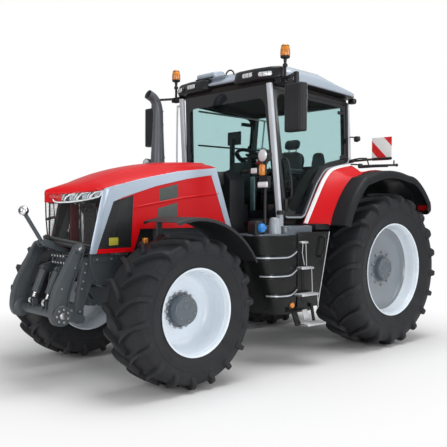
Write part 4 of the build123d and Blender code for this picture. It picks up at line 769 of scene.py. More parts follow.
# ---- hood ----
HOOD_PLAN = np.array([  # station, half width, height of the side edge, height of the crown
    (2190, 452, 2085, 2150), (2450, 443, 2060, 2141), (2700, 434.4, 2028, 2123),
    (2930, 426.4, 1985, 2094), (3150, 418.8, 1938, 2052), (3360, 411.6, 1886, 2001),
    (3500, 406.0, 1848, 1956), (3562, 392, 1834, 1934), (3640, 318, 1822, 1908),
    (3720, 238, 1814, 1885), (3800, 156, 1806, 1862), (3870, 84, 1800, 1842),
    (3922, 34, 1797, 1824), (3944, 8, 1796, 1811),
])
NOSE_AT = np.array([3936.0, 0.0, 0.0])
V_LENGTH = 515.0  # run of each half of the nose, from the tip to the hood's side
EDGE_ROLL = 9.0  # radius of the hood's side edges
SIDE_LEAN = (403.0 - 452.0) / (3610.0 - 2190.0)  # how the sides close toward the front


def side_y(x):
    """Distance of the hood's side plane from the middle at a station."""
    return 452.0 + SIDE_LEAN * (x - 2190.0)


def side_edge(z):
    """Station of the hood side's front edge, which leans back as it rises."""
    return 3548.0 + (1838.0 - z) * 150.0 / 612.0


def on_nose(p):
    """Carries (run from the centre line, height, distance out) to the nose's left face, a
    ruled surface from the upright tip to the leaning front edge of the hood's side."""
    p = np.asarray(p, float)
    run, z, out = p[..., 0:1], p[..., 1:2], p[..., 2:3]
    reach = side_edge(z) - NOSE_AT[0]
    width = side_y(side_edge(z))
    length = np.hypot(reach, width)
    share = run / V_LENGTH
    x = NOSE_AT[0] + reach * share + out * width / length
    y = width * share - out * reach / length
    return np.concatenate([x, y, z], axis=-1)


def on_hood_side(p):
    """Carries (station, height, distance out) to the hood's left side plane."""
    p = np.asarray(p, float)
    y = side_y(p[..., 0:1]) + p[..., 2:3]
    return np.concatenate([p[..., 0:1] - SIDE_LEAN * p[..., 2:3], y, p[..., 1:2]], axis=-1)


def hood_skin():
    """The hood's top: across, the height falls from the crown to the side edge as one minus
    the share of the half width to the 2.3, with a raised middle band; the edge then rolls
    down a quarter circle. Along, every station value runs on one smooth curve."""
    along = curve_through(HOOD_PLAN, 90)
    across = np.linspace(-1, 1, 65)
    x, half, low, crown = (along[:, k][:, None] for k in range(4))
    share = np.abs(across)[None, :]
    body = low + (crown - low) * (1 - share**2.3)
    band = np.clip((0.60 - share) / 0.07, 0, 1)
    band = band * band * (3 - 2 * band)
    fade = np.clip((3700 - x) / 500, 0, 1)
    z = body + 9.0 * band * fade
    top = np.stack([np.broadcast_to(x, z.shape), half * across[None, :], z], axis=-1)
    rows = []
    for hand, column in ((-1, 0), (1, -1)):
        side = top[:, column]
        roll = [side + [0, hand * EDGE_ROLL * math.sin(t), -EDGE_ROLL * (1 - math.cos(t)) - 1]
                for t in np.linspace(0, np.pi / 2, 5)[1:]]
        roll.append(roll[-1] - [0, 0, 12])
        roll.append(roll[-1] - [0, hand * 12, 0])
        rows.append(roll if hand > 0 else roll[::-1])
    strip = np.stack([*rows[0], *[top[:, k] for k in range(top.shape[1])], *rows[1]], axis=1)
    narrow = np.clip((np.abs(strip[:, :, 1]) - 9) / np.maximum(np.abs(strip[:, :, 1]), 1), 0, 1)
    strip[:, :, 1] *= narrow
    parts = Parts()
    parts.grid(strip)
    parts.piece("hood_top_skin", RED, "hood", slot="hood_red", smooth=50)
    lining = strip[:, 5:-5:4].copy()
    lining[:, :, 2] -= 14
    lining[:, :, 1] *= 0.985
    parts = Parts()
    parts.grid(lining[:, ::-1])
    parts.piece("hood_top_lining", LINER, "hood", smooth=50)


def nose_cap():
    """The nose's spine under the hood's tip: a rounded wedge in plan, and the dark post
    that stands below it between the two screens."""
    outline = curve_through([(3830, 118), (3880, 66), (3920, 26), (3941, 9), (3946, 0)], 14)
    outline = np.vstack([outline, outline[::-1][1:] * [1, -1]])
    rings = pressed(outline[::-1], 1700, 1803, 7)
    parts = Parts()
    parts.solid(rings)
    parts.piece("nose_cap", RED, "hood", slot="hood_red", smooth=50)
    post = Parts()
    post.pipe([(3934, 0, 1700), (3930, 0, 1560), (3916, 0, 1400), (3900, 0, 1340)], 12, 7, 8)
    post.piece("nose_post", BLACK, "hood", slot="black_paint")


def plate_on(parts, outline, low, high, place, edge=1.5):
    """A thin plate of an outline with rolled rims, carried onto a plane of the hood."""
    parts.solid(pressed(np.array(outline, float), low, high, edge, 2, place))


def strip_along(parts, path, width, low, high, place, edge=1.2):
    """A flat strip of one width that follows an open path on a plane."""
    path = np.array(path, float)
    side = path_normals(path) * width / 2
    plate_on(parts, np.vstack([path - side, (path + side)[::-1]]), low, high, place, edge)


def light_bands():
    """Each half of the nose carries a dark housing with four lamp cups, a bright lower
    lash and three pairs of L-shaped strips, under one clear cover."""
    run = V_LENGTH
    housing = Parts()
    plate_on(housing, [(34, 1700), (150, 1702), (run - 22, 1762), (run - 4, 1830), (34, 1790)],
             -36, -16, on_nose)
    housing.mirrored().piece("light_band_housing", BLACK, "hood", slot="black_paint")
    bright = Parts()
    lash = [(60, 1746), (92, 1708), (200, 1706), (330, 1722), (430, 1744), (486, 1766),
            (500, 1822)]
    strip_along(bright, curve_through(lash, 34), 15, -16, 3, on_nose, 3)
    for start, foot, head in ((170, 1716, 1786), (285, 1724, 1800), (398, 1742, 1812)):
        strip_along(bright, [(start, foot), (start + 12, (foot + head) / 2 - 6),
                             (start + 40, head - 14), (start + 96, head)], 15, -16, 1, on_nose, 3)
        strip_along(bright, [(start - 22, foot + 6), (start - 14, (foot + head) / 2),
                             (start + 8, head - 4)], 6, -16, 0, on_nose, 2)
    corner = Parts()
    levels = np.linspace(1230, 1832, 16)
    front = np.array([(side_edge(z) - 1, z) for z in levels])
    plate_on(corner, np.vstack([front, front[::-1] - [46, 0]]), -1, 5.6, on_hood_side, 1.5)
    wrap = np.array([(run + 3, z) for z in levels])
    plate_on(corner, np.vstack([wrap, wrap[::-1] - [16, 0]]), -6, 3, on_nose, 1.5)
    corner.mirrored().piece("stripe_front_edges", STRIPE, "hood", slot="stripe_silver", smooth=45)
    bright.mirrored().piece("light_band_chrome", WHITE_TRIM, "hood", slot="lamp_glass")
    cups = Parts()
    for start, wide, low, high in ((92, 78, 1716, 1776), (214, 72, 1720, 1782),
                                   (326, 74, 1734, 1796), (434, 52, 1754, 1812)):
        cup = rounded_rectangle(wide, high - low, 14) + [start + wide / 2, (low + high) / 2]
        cup[:, 1] += 0.10 * (cup[:, 0] - start - wide / 2)
        plate_on(cups, cup, -17, -8, on_nose, 4)
        for share in (-0.22, 0.0, 0.22):
            rib = rounded_rectangle(2.5, (high - low) * 0.7, 1)
            rib += [start + wide * (0.5 + share), (low + high) / 2]
            plate_on(cups, rib, -9, -4, on_nose, 0.8)
    cups.mirrored().piece("light_band_reflectors", LIGHT_GREY, "hood", slot="lamp_glass")
    cover = Parts()
    plate_on(cover, [(40, 1706), (150, 1700), (330, 1712), (run - 20, 1756), (run - 6, 1828),
                     (330, 1808), (40, 1788)], 3, 6, on_nose, 1)
    cover.mirrored().piece("light_band_cover", LENS, "hood", slot="lamp_glass",
                           stands_for=("headlights",))


def screens():
    """Fine wire screens in dark borders: the nose's two, the side windows' two."""
    run = V_LENGTH
    screen = Parts()
    plate_on(screen, [(10, 1386), (run - 26, 1300), (run - 20, 1756), (180, 1704), (10, 1700)],
             -24, -22.6, on_nose, 0.4)
    screen.mirrored().piece("front_screen", SCREEN_MESH, "hood", slot="mesh_grey")
    border = Parts()
    for path, width in (
        ([(6, 1374), (150, 1350), (330, 1322), (run - 16, 1292)], 40),
        ([(6, 1336), (150, 1316), (330, 1290), (run - 16, 1262)], 34),
        ([(30, 1700), (160, 1696), (340, 1708), (run - 22, 1750)], 13),
        ([(run - 14, 1280), (run - 12, 1530), (run - 14, 1756)], 22),
        ([(104, 1378), (86, 1520), (66, 1700)], 6),
    ):
        strip_along(border, curve_through(path, 9), width, -30, -16, on_nose, 3)
    border.mirrored().piece("front_screen_border", BLACK, "hood", slot="black_paint")
    sides = Parts()
    plate_on(sides, [(3626, 1272), (3452, 1716), (3230, 1778), (3256, 1276)], -5, -3.4,
             on_hood_side, 0.4)
    sides.mirrored().piece("side_screens", SIDE_SCREEN, "hood", slot="mesh_grey")
    rims = Parts()
    outline = [(3628, 1274), (3452, 1710), (3234, 1772), (3260, 1280), (3628, 1274)]
    for a, b in zip(outline[:-1], outline[1:]):
        strip_along(rims, [a, b], 10, -7, 0.5, on_hood_side, 1)
    rims.mirrored().piece("side_screen_borders", BLACK, "hood", slot="black_paint")
    panes = Parts()
    plate_on(panes, [(3622, 1282), (3452, 1704), (3396, 1718), (3520, 1284)], -12, -8,
             on_hood_side, 1)
    plate_on(panes, [(3372, 1724), (3338, 1734), (3470, 1286), (3500, 1285)], -12, -8,
             on_hood_side, 1)
    panes.mirrored().piece("side_screen_backing", VENT, "hood")
    mark = Parts()
    plate_on(mark, [(3500, 1300), (3500, 1372), (3400, 1374), (3400, 1302)], -3, -1.5,
             on_hood_side, 0.5)
    mark.mirrored().piece("side_screen_mark", YELLOW, "hood")


def side_vents():
    """Two slatted vents a side, a pressed crease and a dark lining inside each side."""
    vents = Parts()
    for corners in ([(2932, 1842), (2698, 1898), (2698, 1760), (2927, 1720)],
                    [(2942, 1650), (2703, 1710), (2703, 1573), (2952, 1513)]):
        plate_on(vents, corners, -5, 0.8, on_hood_side, 1.5)
        for share in np.linspace(0.08, 0.92, 15):
            a = np.array(corners[3]) * (1 - share) + np.array(corners[0]) * share
            b = np.array(corners[2]) * (1 - share) + np.array(corners[1]) * share
            strip_along(vents, [a, (a + b) / 2, b], 3.2, 0, 3, on_hood_side, 1)
    vents.mirrored().piece("side_vents", VENT, "hood", slot="mesh_grey",
                           stands_for=("hood_grilles",))
    crease = Parts()
    line = curve_through([(3225, 1660), (2960, 1706), (2600, 1765), (2230, 1808), (2130, 1818)],
                         30)
    taper = np.interp(np.arange(30), [0, 3, 26, 29], [0.2, 1, 1, 0.2])
    shape = np.array([(-17, -1.0), (-15, 0.4), (-2, 6.5), (1, 6.0), (7, 0.4), (9, -1.0)])
    rings = np.stack([
        np.broadcast_to(line[:, None, 0], (30, 6)),
        line[:, None, 1] + shape[None, :, 0],
        shape[None, :, 1] * taper[:, None],
    ], axis=-1)
    crease.solid(on_hood_side(rings))
    crease.mirrored().piece("side_creases", RED, "hood", slot="hood_red", smooth=40)
    lining = Parts()
    plate_on(lining, [(2010, 1470), (2200, 2064), (2700, 2006), (3220, 1900), (3226, 1236),
                      (3146, 1470)], -17, -13, on_hood_side, 1)
    plate_on(lining, [(3226, 1236), (3220, 1896), (3525, 1818), (3672, 1236), (3640, 1236),
                      (3452, 1730), (3236, 1790), (3262, 1262), (3648, 1256), (3660, 1232)], -17,
             -13, on_hood_side, 1)
    lining.mirrored().piece("hood_side_lining", LINER, "hood")


dress("hood_shell", RED, 3, keep=lambda x, y, z: not (
    z > np.interp(x, [2190, 3560, 3930], [2087, 1834, 1790]) + 1.5
    or x > 3720 or (abs(y) < 385 and z > 1700 and not (2150 < x < 2220 and z < 2110))))
dress("hood_stripes", STRIPE, 2)
light_bands()
screens()
side_vents()
hood_skin()
nose_cap()


# ---- cooling pack ----
def cooling_details():
    """Fins, side tanks and pipes of the coolers that show through the screens."""
    fins = Parts()
    for y0, y1, z0, z1 in ((-290, 60, 1215, 1640), (90, 290, 1215, 1500)):
        for z in np.arange(z0, z1, 26.0):
            fins.brick((3400, y0, z), (3408, y1, z + 11), 2)
    fins.piece("cooler_fins", CORE, slot="core_grey")
    panels = Parts()
    panels.brick((3402, 64, 1230), (3440, 84, 1700), 4)
    panels.brick((3402, 300, 1240), (3500, 322, 1690), 4)
    panels.brick((3402, -322, 1240), (3500, -300, 1690), 4)
    panels.piece("cooler_side_panels", finish("dark_red_panel", (0.16, 0.012, 0.016), 0.5))
    pipes = Parts()
    for y in (-140, 150):
        pipes.pipe([(3410, y, 1640), (3470, y + 20, 1650), (3500, y + 70, 1600),
                    (3500, y + 80, 1420), (3480, y + 60, 1260)], 26, 17, 12)
    pipes.piece("cooler_pipes", ALLOY, slot="step_aluminium")


cooling_details()


# ---- exhaust ----
def exhaust_stack():
    """A silencer can under a heat shield, then a pipe that bends ahead at its tip; turned
    rings carried along the pipe's path with its radius."""
    x, y = 2170, -690
    parts = Parts()
    can = [(1500, 0), (1500, 92), (1512, 108), (1530, 112), (2110, 112), (2150, 108), (2184, 96),
           (2192, 84), (2192, 0)]
    parts.turned(can, (x, y, 0), axis="z", segments=64)
    pipe_x, pipe_y = x - 44, y + 34
    bend = ((6, 2170), (4, 2400), (0, 2620), (0, 2760), (8, 2836), (32, 2904), (78, 2956),
            (150, 2990))
    path = curve_through([(pipe_x + ahead, pipe_y, z) for ahead, z in bend], 70)
    radius = np.interp(path[:, 2], [2170, 2300, 2560, 2700, 2992], [84, 80, 66, 60, 57])
    wall = np.concatenate([tube(path, radius, 40), tube(path, radius - 4, 40)[::-1]])
    parts.grid(wall, close_rows=True, close_columns=True)
    for z, r in ((2250, 84), (2640, 66), (2800, 62)):
        band = [(z, r - 6), (z, r + 1), (z + 12, r + 1), (z + 12, r - 6)]
        parts.ring(band, (pipe_x, pipe_y, 0), "z", 48)
    parts.brick((1880, -740, 1560), (2100, -640, 1610), 5)
    parts.brick((1880, -640, 1560), (1950, -420.3, 1610), 5)
    parts.piece("exhaust_stack", STACK, slot="stack_metal", smooth=40, stands_for=("exhaust",))
    slots = Parts()
    for row, z in enumerate(np.arange(1580, 2120, 26.0)):
        for turn in np.arange(-0.9, 0.95, 0.22) + 0.11 * (row % 2):
            at = (x + 112.4 * math.cos(turn), y + 112.4 * math.sin(turn), z)
            slots.turned([(-0.6, 0), (-0.6, 5), (0.4, 4.6), (0.4, 0)], at, "z", 6)
    slots.piece("exhaust_shield_slots", BLACK)


exhaust_stack()


# ---- front mudguards ----
def mudguards():
    """An arc strip over each steered wheel: its section is carried round the axle, crowned
    across with lips rolled down at both edges."""
    for side, hand in (("left", 1), ("right", -1)):
        turn = np.radians(np.linspace(72, 150, 60))
        across = np.array([690, 692, 700, 760, 860, 945, 1030, 1130, 1188, 1197, 1200.0])
        drop = np.array([26, 8, 1, 0, 0, 0, 0, 1, 3, 10, 30.0])
        outer = 862 - drop
        inner = outer - 5
        y = np.concatenate([across, across[::-1]])
        r = np.concatenate([outer, inner[::-1]])
        points = np.stack([WHEELBASE + r[None, :] * np.cos(turn)[:, None],
                           np.broadcast_to(y * hand, (60, 22)),
                           FRONT_RADIUS + r[None, :] * np.sin(turn)[:, None]], axis=-1)
        parts = Parts()
        parts.solid(points)
        parts.piece(f"mudguard_{side}_shell", PLASTIC, f"steering_{side}", slot="tank_plastic",
                    smooth=45, stands_for=(f"mudguard_{side}",))
        stay = Parts()
        for x in (2960, 3130):
            stay.brick((x - 20, 740 * hand, 1535), (x + 20, 1010 * hand, 1552), 4)
        stay.brick((2940, 800 * hand, 1528), (3150, 836 * hand, 1548), 4)
        stay.piece(f"mudguard_{side}_stay", BLACK, f"steering_{side}")


mudguards()


# ---- roof ----
ROOF_TOP = [(215, 3040), (330, 3098), (900, 3246), (1480, 3262), (1640, 3226), (1705, 3150)]
ROOF_LOW = [(215, 2995), (1600, 3062), (1705, 3108)]


def roof_shell():
    """The roof: its plan outline shrinks over a shoulder while its height climbs from a
    plain side band to the crown; lower edge and crown follow their own lines along x."""
    half = [(215, 0), (218, 600), (240, 770), (300, 850), (420, 886), (900, 890), (1400, 884),
            (1520, 872), (1600, 820), (1660, 700), (1690, 560), (1703, 300), (1705, 0)]
    outline = curve_through(half, 90)
    outline = np.vstack([outline, (outline * [1, -1])[::-1][1:-1]])
    top = np.array(ROOF_TOP, float)
    low = np.array(ROOF_LOW, float)
    # (share of the plan left, share of the height)
    section = [(0.90, 0.02), (0.985, 0.0), (0.998, 0.03), (1.0, 0.10), (0.998, 0.36),
               (0.988, 0.47), (0.972, 0.53), (0.955, 0.57), (0.93, 0.66), (0.86, 0.84),
               (0.76, 0.945), (0.60, 0.985), (0.4, 1.0), (0.2, 1.0), (0.0, 1.0)]
    middle = np.array([950.0, 0.0])
    rings = []
    for share, rise in section:
        plan = middle + (outline - middle) * share
        z0 = np.interp(plan[:, 0], low[:, 0], low[:, 1])
        z1 = np.interp(plan[:, 0], top[:, 0], top[:, 1])
        rings.append(np.column_stack([plan, z0 + (z1 - z0) * rise]))
    parts = Parts()
    parts.grid(np.array(rings), close_columns=True)
    parts.piece("roof_shell", ROOF, slot="roof_white", smooth=40, stands_for=("roof",))
    rings = []
    for share, drop in ((0.0, 4), (0.9, 4), (0.975, 2), (0.978, -3)):
        plan = middle + (outline - middle) * share
        z0 = np.interp(plan[:, 0], low[:, 0], low[:, 1])
        rings.append(np.column_stack([plan, z0 - drop]))
    under = Parts()
    under.grid(np.array(rings), close_columns=True)
    under.piece("roof_underside", BLACK, slot="black_plastic", smooth=40)


roof_shell()


# ---- tanks and steps ----
TANK_PLAN = [(1345, 640), (1345, 1096), (1610, 1101), (1760, 1098), (1900, 1090), (2010, 1062),
             (2090, 1010), (2150, 920), (2178, 780), (2150, 660), (2090, 600)]


def at_tank(plan, z):
    """Plan points carried to a height: the front leans back toward the foot, and the foot
    rolls in."""
    plan = np.asarray(plan, float)
    z = np.asarray(z, float) * np.ones(len(plan))
    lean = np.interp(z, [545, 690, 940, 1370], [262, 212, 128, 0])
    share = np.clip((plan[:, 0] - 1560) / 600, 0, 1) ** 1.4
    roll = np.interp(z, [545, 580, 660, 720], [46, 22, 4, 0])
    return np.column_stack([plan[:, 0] - lean * share, plan[:, 1] - roll, z])


def tank_details():
    """The moulded tanks with their flutes, bright mouldings that sweep up at the rear, the
    grey deck with the filler, and the blue cap in its dark housing."""
    plan = np.vstack([TANK_PLAN[:2], curve_through(TANK_PLAN[2:], 60)])
    skin = Parts()
    levels = np.concatenate([[545, 552, 566, 590], np.arange(630, 1350, 30.0),
                             [1360, 1368, 1372]])
    rows = np.array([at_tank(plan, z) for z in levels])
    rows[-1, :, 1] -= 8
    skin.solid(rows)
    lines = Parts()
    flank = curve_through(TANK_PLAN[2:9], 120)
    for level, front in ((1146, 0.88), (953, 0.84), (745, 0.80)):
        run = np.linspace(0.03, front, 60)
        base = flank[(run * 119).astype(int)]
        sweep = np.clip((0.24 - run) / 0.21, 0, 1)
        path = at_tank(curve_through(base[::4], 60), level + 58 * sweep**2.2)
        step = np.gradient(path, axis=0)
        out = np.column_stack([-step[:, 1], step[:, 0], np.zeros(60)]) * -1.0
        out *= np.sign(out[:, 1:2] + 1e-9)
        lines.solid(moulding(path, out, 17, 9))
        for drop, width, proud in ((20, 18, 12), (-24, 16, 5)):
            skin.solid(moulding(path + [0, 0, drop], out, width, proud))
    skin.mirrored().piece("tank_skins", TANK, slot="tank_plastic", smooth=40,
                          stands_for=("tanks",))
    lines.mirrored().piece("tank_bright_lines", SILVER, slot="step_aluminium", smooth=50)
    deck = Parts()
    top = rounded([(1345, 640), (1790, 640), (1800, 880), (1795, 1040), (1740, 1088),
                   (1345, 1092)], 40)
    deck.solid(pressed(top, 1366, 1472, 18))
    top = rounded([(1700, 640), (2150, 700), (2160, 900), (2080, 1020), (1900, 1082),
                   (1700, 1090)], 50)
    deck.solid(pressed(top, 1366, 1392, 8))
    deck.mirrored().piece("tank_deck", DECK, slot="tank_plastic", smooth=45)
    dome = Parts()
    dome.turned([(1380, 0), (1380, 70), (1440, 66), (1520, 58), (1552, 48), (1562, 30),
                 (1564, 0)], (1862, 1000, 0), "z", 48)
    dome.turned([(1470, 0), (1470, 32), (1590, 30), (1596, 0)], (1775, 1000, 0), "z", 32)
    dome.piece("filler_dome", LIGHT_GREY, smooth=50)
    caps = Parts()
    caps.turned([(1590, 0), (1590, 40), (1598, 44), (1626, 44), (1636, 36), (1637, 0)],
                (1772, 1000, 0), "z", 40)
    box = [(1980, 1380), (1986, 1520), (2008, 1536), (2120, 1528), (2136, 1500), (2138, 1380)]
    caps.slab(rounded(box, 22), 870, 992, 14)
    caps.piece("cap_housing", BLACK, smooth=45)
    blue = Parts()
    blue.turned([(986, 0), (986, 44), (1012, 46), (1026, 40), (1031, 24), (1032, 0)],
                (2060, 0, 1456), "y", 40)
    blue.brick((2020, 1028, 1448), (2100, 1040, 1464), 3)
    for turn in np.arange(0, 2 * np.pi, np.pi / 8):
        at = np.array([2060 + 45 * math.cos(turn), 0, 1456 + 45 * math.sin(turn)])
        blue.turned([(988, 0), (988, 4), (1012, 4), (1014, 0)], at, "y", 8)
    blue.piece("blue_cap", BLUE, smooth=45)
    marks = Parts()
    marks.turned([(1090, 0), (1090, 30), (1108, 30), (1114, 24), (1115, 0)], (1694, 0, 640), "y",
                 32)
    marks.brick((3074, 400, 1306), (3122, 444, 1362), 6)
    marks.mirrored().piece("amber_markers", AMBER, slot="amber_plastic")


TREADS = (  # rear end, front end, outer edge, height of the tread's top
    (1512, 1618, 1168, 1312), (1452, 1650, 1200, 1042), (1392, 1680, 1232, 764),
)


def steps():
    """Alloy treads with ridges that widen downward, their slim rails, the dark panel behind
    them and the hanging lower step."""
    panel = Parts()
    outline = [(1622, 1404), (1100, 1404), (1112, 1300), (1292, 600), (1622, 600)]
    panel.slab(rounded(outline, 20), 1101, 1112, 4)
    recess = [(1560, 1360), (1260, 1360), (1400, 660), (1560, 660)]
    panel.slab(rounded(recess, 30), 1106, 1118, 5)
    panel.pipe([(1228, 1112, 1350), (1216, 1150, 1340), (1222, 1156, 1250), (1262, 1150, 1150),
                (1276, 1112, 1138)], 30, 12, 12)
    hanger = [(1744, 584), (1672, 584), (1596, 424), (1672, 420)]
    panel.slab(rounded(hanger, 12), 1122, 1150, 5)
    hanger = [(1440, 640), (1400, 640), (1352, 440), (1386, 434)]
    panel.slab(rounded(hanger, 12), 1120, 1140, 5)
    panel.mirrored().piece("step_panel", TANK, slot="tank_plastic", stands_for=("steps",))
    alloy = Parts()
    for rear, front, outer, top in (*TREADS, (1322, 1620, 1262, 450)):
        alloy.brick((rear, 1112, top - 24), (front, outer, top - 5), 5, 10)
        for y in np.arange(1124, outer - 8, 15.0):
            alloy.brick((rear + 10, y, top - 7), (front - 10, y + 6, top), 2)
    for (rear, _, outer, top), low in zip(TREADS, (1042, 764, 600)):
        path = [(rear + 34, outer - 12, top - 20), (rear + 26, outer - 6, low + 8)]
        alloy.pipe(path, 4, 5, 10)
    path = [(1586, 1150, 1290), (1596, 1150, 1190), (1560, 1150, 1060)]
    alloy.solid(tube(path, 5, 10))
    plate = [(1600, 590), (1520, 590), (1470, 470), (1560, 470)]
    alloy.slab(rounded(plate, 10), 1152, 1160, 3)
    trim = [(1098, 1116, 1402), (1290, 1116, 604)]
    alloy.pipe(trim, 6, 6, 10)
    alloy.mirrored().piece("step_treads", ALLOY, slot="step_aluminium")


tank_details()
steps()


# ---- fenders ----
ARCH = np.array([  # distance over the rear tyre, degrees up from ahead
    (214, 28.6), (248, 37.5), (318, 58.5), (304, 62.9), (283, 70.7), (245, 99.8),
    (265, 111.7), (213, 130.5), (190, 134.8), (132, 138.1), (65, 137.7),
])
QUARTER_INNER = [(1240, 1478), (1188, 1560), (1075, 1740), (948, 1938), (880, 2026), (790, 2102),
                 (640, 2146), (400, 2186)]


def arch_points(rows, count):
    """Stations and heights of a smooth run over the rear tyre."""
    over, angle = curve_through(rows, count).T
    turn = np.radians(angle)
    reach = REAR_RADIUS + over
    return np.column_stack([reach * np.cos(turn), REAR_RADIUS + reach * np.sin(turn)])


def stood(flat, y):
    """A sheet of points: (station, height), one a row or one a cell, set at values of y."""
    if flat.ndim == 2:
        flat = np.repeat(flat[:, None], len(y), axis=1)
    return np.stack([flat[..., 0], np.broadcast_to(y, flat.shape[:2]), flat[..., 1]], axis=-1)


def shell(parts, rows, thickness):
    """Closes an open sheet of points into a wall: its second face lies inward along the
    sheet's normals."""
    rows = np.asarray(rows, float)
    normal = np.cross(np.gradient(rows, axis=0), np.gradient(rows, axis=1))
    normal /= np.maximum(np.linalg.norm(normal, axis=2), 1e-9)[..., None]
    under = rows - normal * thickness
    ring = np.concatenate([rows, under[:, ::-1]], axis=1)
    parts.solid(ring)


def fenders():
    """The red quarter from the door's edge out to the arch, the top and back of the
    fender, a white strip along the door, and the rubber extension with a deep lip."""
    outer = arch_points(ARCH[:5], 50)
    inner = curve_through(QUARTER_INNER, 50)
    share = np.linspace(0, 1, 16)[None, :, None]
    bulge = (np.sin(np.linspace(0, np.pi, 16)) * 14)[None, :, None]
    flat = outer[:, None] * share + inner[:, None] * (1 - share)
    lift = np.array([0.5, 0.86])
    flat = flat + bulge * lift
    red = Parts()
    shell(red, stood(flat, 849 + (1052 - 849) * share[..., 0]), 9)
    back = arch_points(ARCH[4:], 60)
    y = np.concatenate([[580, 580, 584, 596], np.linspace(620, 1030, 8), [1046, 1052, 1052]])
    drop = np.array([40, 14, 4, 0, *([0] * 8), 2, 8, 20.0])
    flat = back[:, None] - path_normals(back)[:, None] * drop[None, :, None]
    shell(red, stood(flat, y), 8)
    red.mirrored().piece("fender_skins", RED, slot="body_red", smooth=50, stands_for=("fenders",))
    strip = Parts()
    near = inner + 0.13 * (outer - inner)
    path = np.column_stack([near[:, 0], np.full(50, 876), near[:, 1]])
    strip.solid(moulding(path + [13, 4, 12], (0.55, 0.5, 0.66), 44, 8))
    strip.mirrored().piece("fender_white_strip", WHITE_TRIM, smooth=50)
    walls = Parts()
    crown = arch_points([(over - 22, turn) for over, turn in ARCH[4:8]], 30)
    wall = [(1214, 1424), *(inner[4:46:3] - [10, 8]), *crown[::3], (-770, 1640), (-300, 1424)]
    walls.slab(wall, 576, 586, 3)
    walls.slab(wall, 563, 572, 3)
    lower = [(1245, 1420), (1245, 1486), (1000, 1486), (1000, 1420)]
    walls.slab(rounded(lower, 14), 600, 1046, 6)
    under = arch_points(ARCH[2:], 60)
    shell(walls, stood(inner - [0, 4], [578.0, 660, 760, 850]), 6)
    shell(walls, stood(under + path_normals(under) * 30, [588.0, 700, 850, 1000, 1050]), 5)
    walls.mirrored().piece("fender_inner_walls", BLACK, slot="black_plastic")
    arch = arch_points(ARCH, 90)
    y = np.array([1053, 1053, 1056, 1066, 1110, 1180, 1235, 1258, 1270, 1275, 1275, 1270])
    drop = np.array([26, 8, 2, 0, 0, 1, 2, 5, 12, 24, 72, 78.0])
    flat = arch[:, None] + path_normals(arch)[:, None] * drop[None, :, None]
    rubber = Parts()
    shell(rubber, stood(flat, y), 9)
    rubber.mirrored().piece("fender_rubber", RUBBER, slot="edge_rubber", smooth=50,
                            stands_for=("fender_extensions",))


fenders()


# ---- cab ----
A_FOOT, A_TOP = np.array([1530.0, 1540.0]), np.array([1660.0, 3020.0])
C_TOP, C_FOOT = np.array([335.0, 2950.0]), np.array([365.0, 2190.0])
SIDE_OUTLINE = [A_FOOT, A_TOP, C_TOP, C_FOOT, (800, 2100), (960, 1930), (1200, 1540)]


def cab_y(x, z):
    """Distance of the cab's side plane from the middle at a station and a height."""
    return 800 + 0.05 * (1530 - x) - 0.065 * (z - 1540)


def on_cab_side(p):
    """Carries (station, height, distance out) to the cab's left side plane, which leans in
    as it rises and narrows toward the front."""
    p = np.asarray(p, float)
    y = cab_y(p[..., 0:1], p[..., 1:2]) + p[..., 2:3]
    return np.concatenate([p[..., 0:1], y, p[..., 1:2]], axis=-1)


def ring_plate(parts, outer, inner, low, high, place):
    """A flat ring between two outlines of equal count."""
    section = ((outer, low), (outer, high), (inner, high), (inner, low))
    rings = np.array([at_height(edge, height) for edge, height in section])
    parts.grid(place(rings), close_rows=True, close_columns=True)


def a_line(z):
    """Station of the front post's outer corner at a height."""
    return A_FOOT[0] + (z - A_FOOT[1]) * (A_TOP[0] - A_FOOT[0]) / (A_TOP[1] - A_FOOT[1])


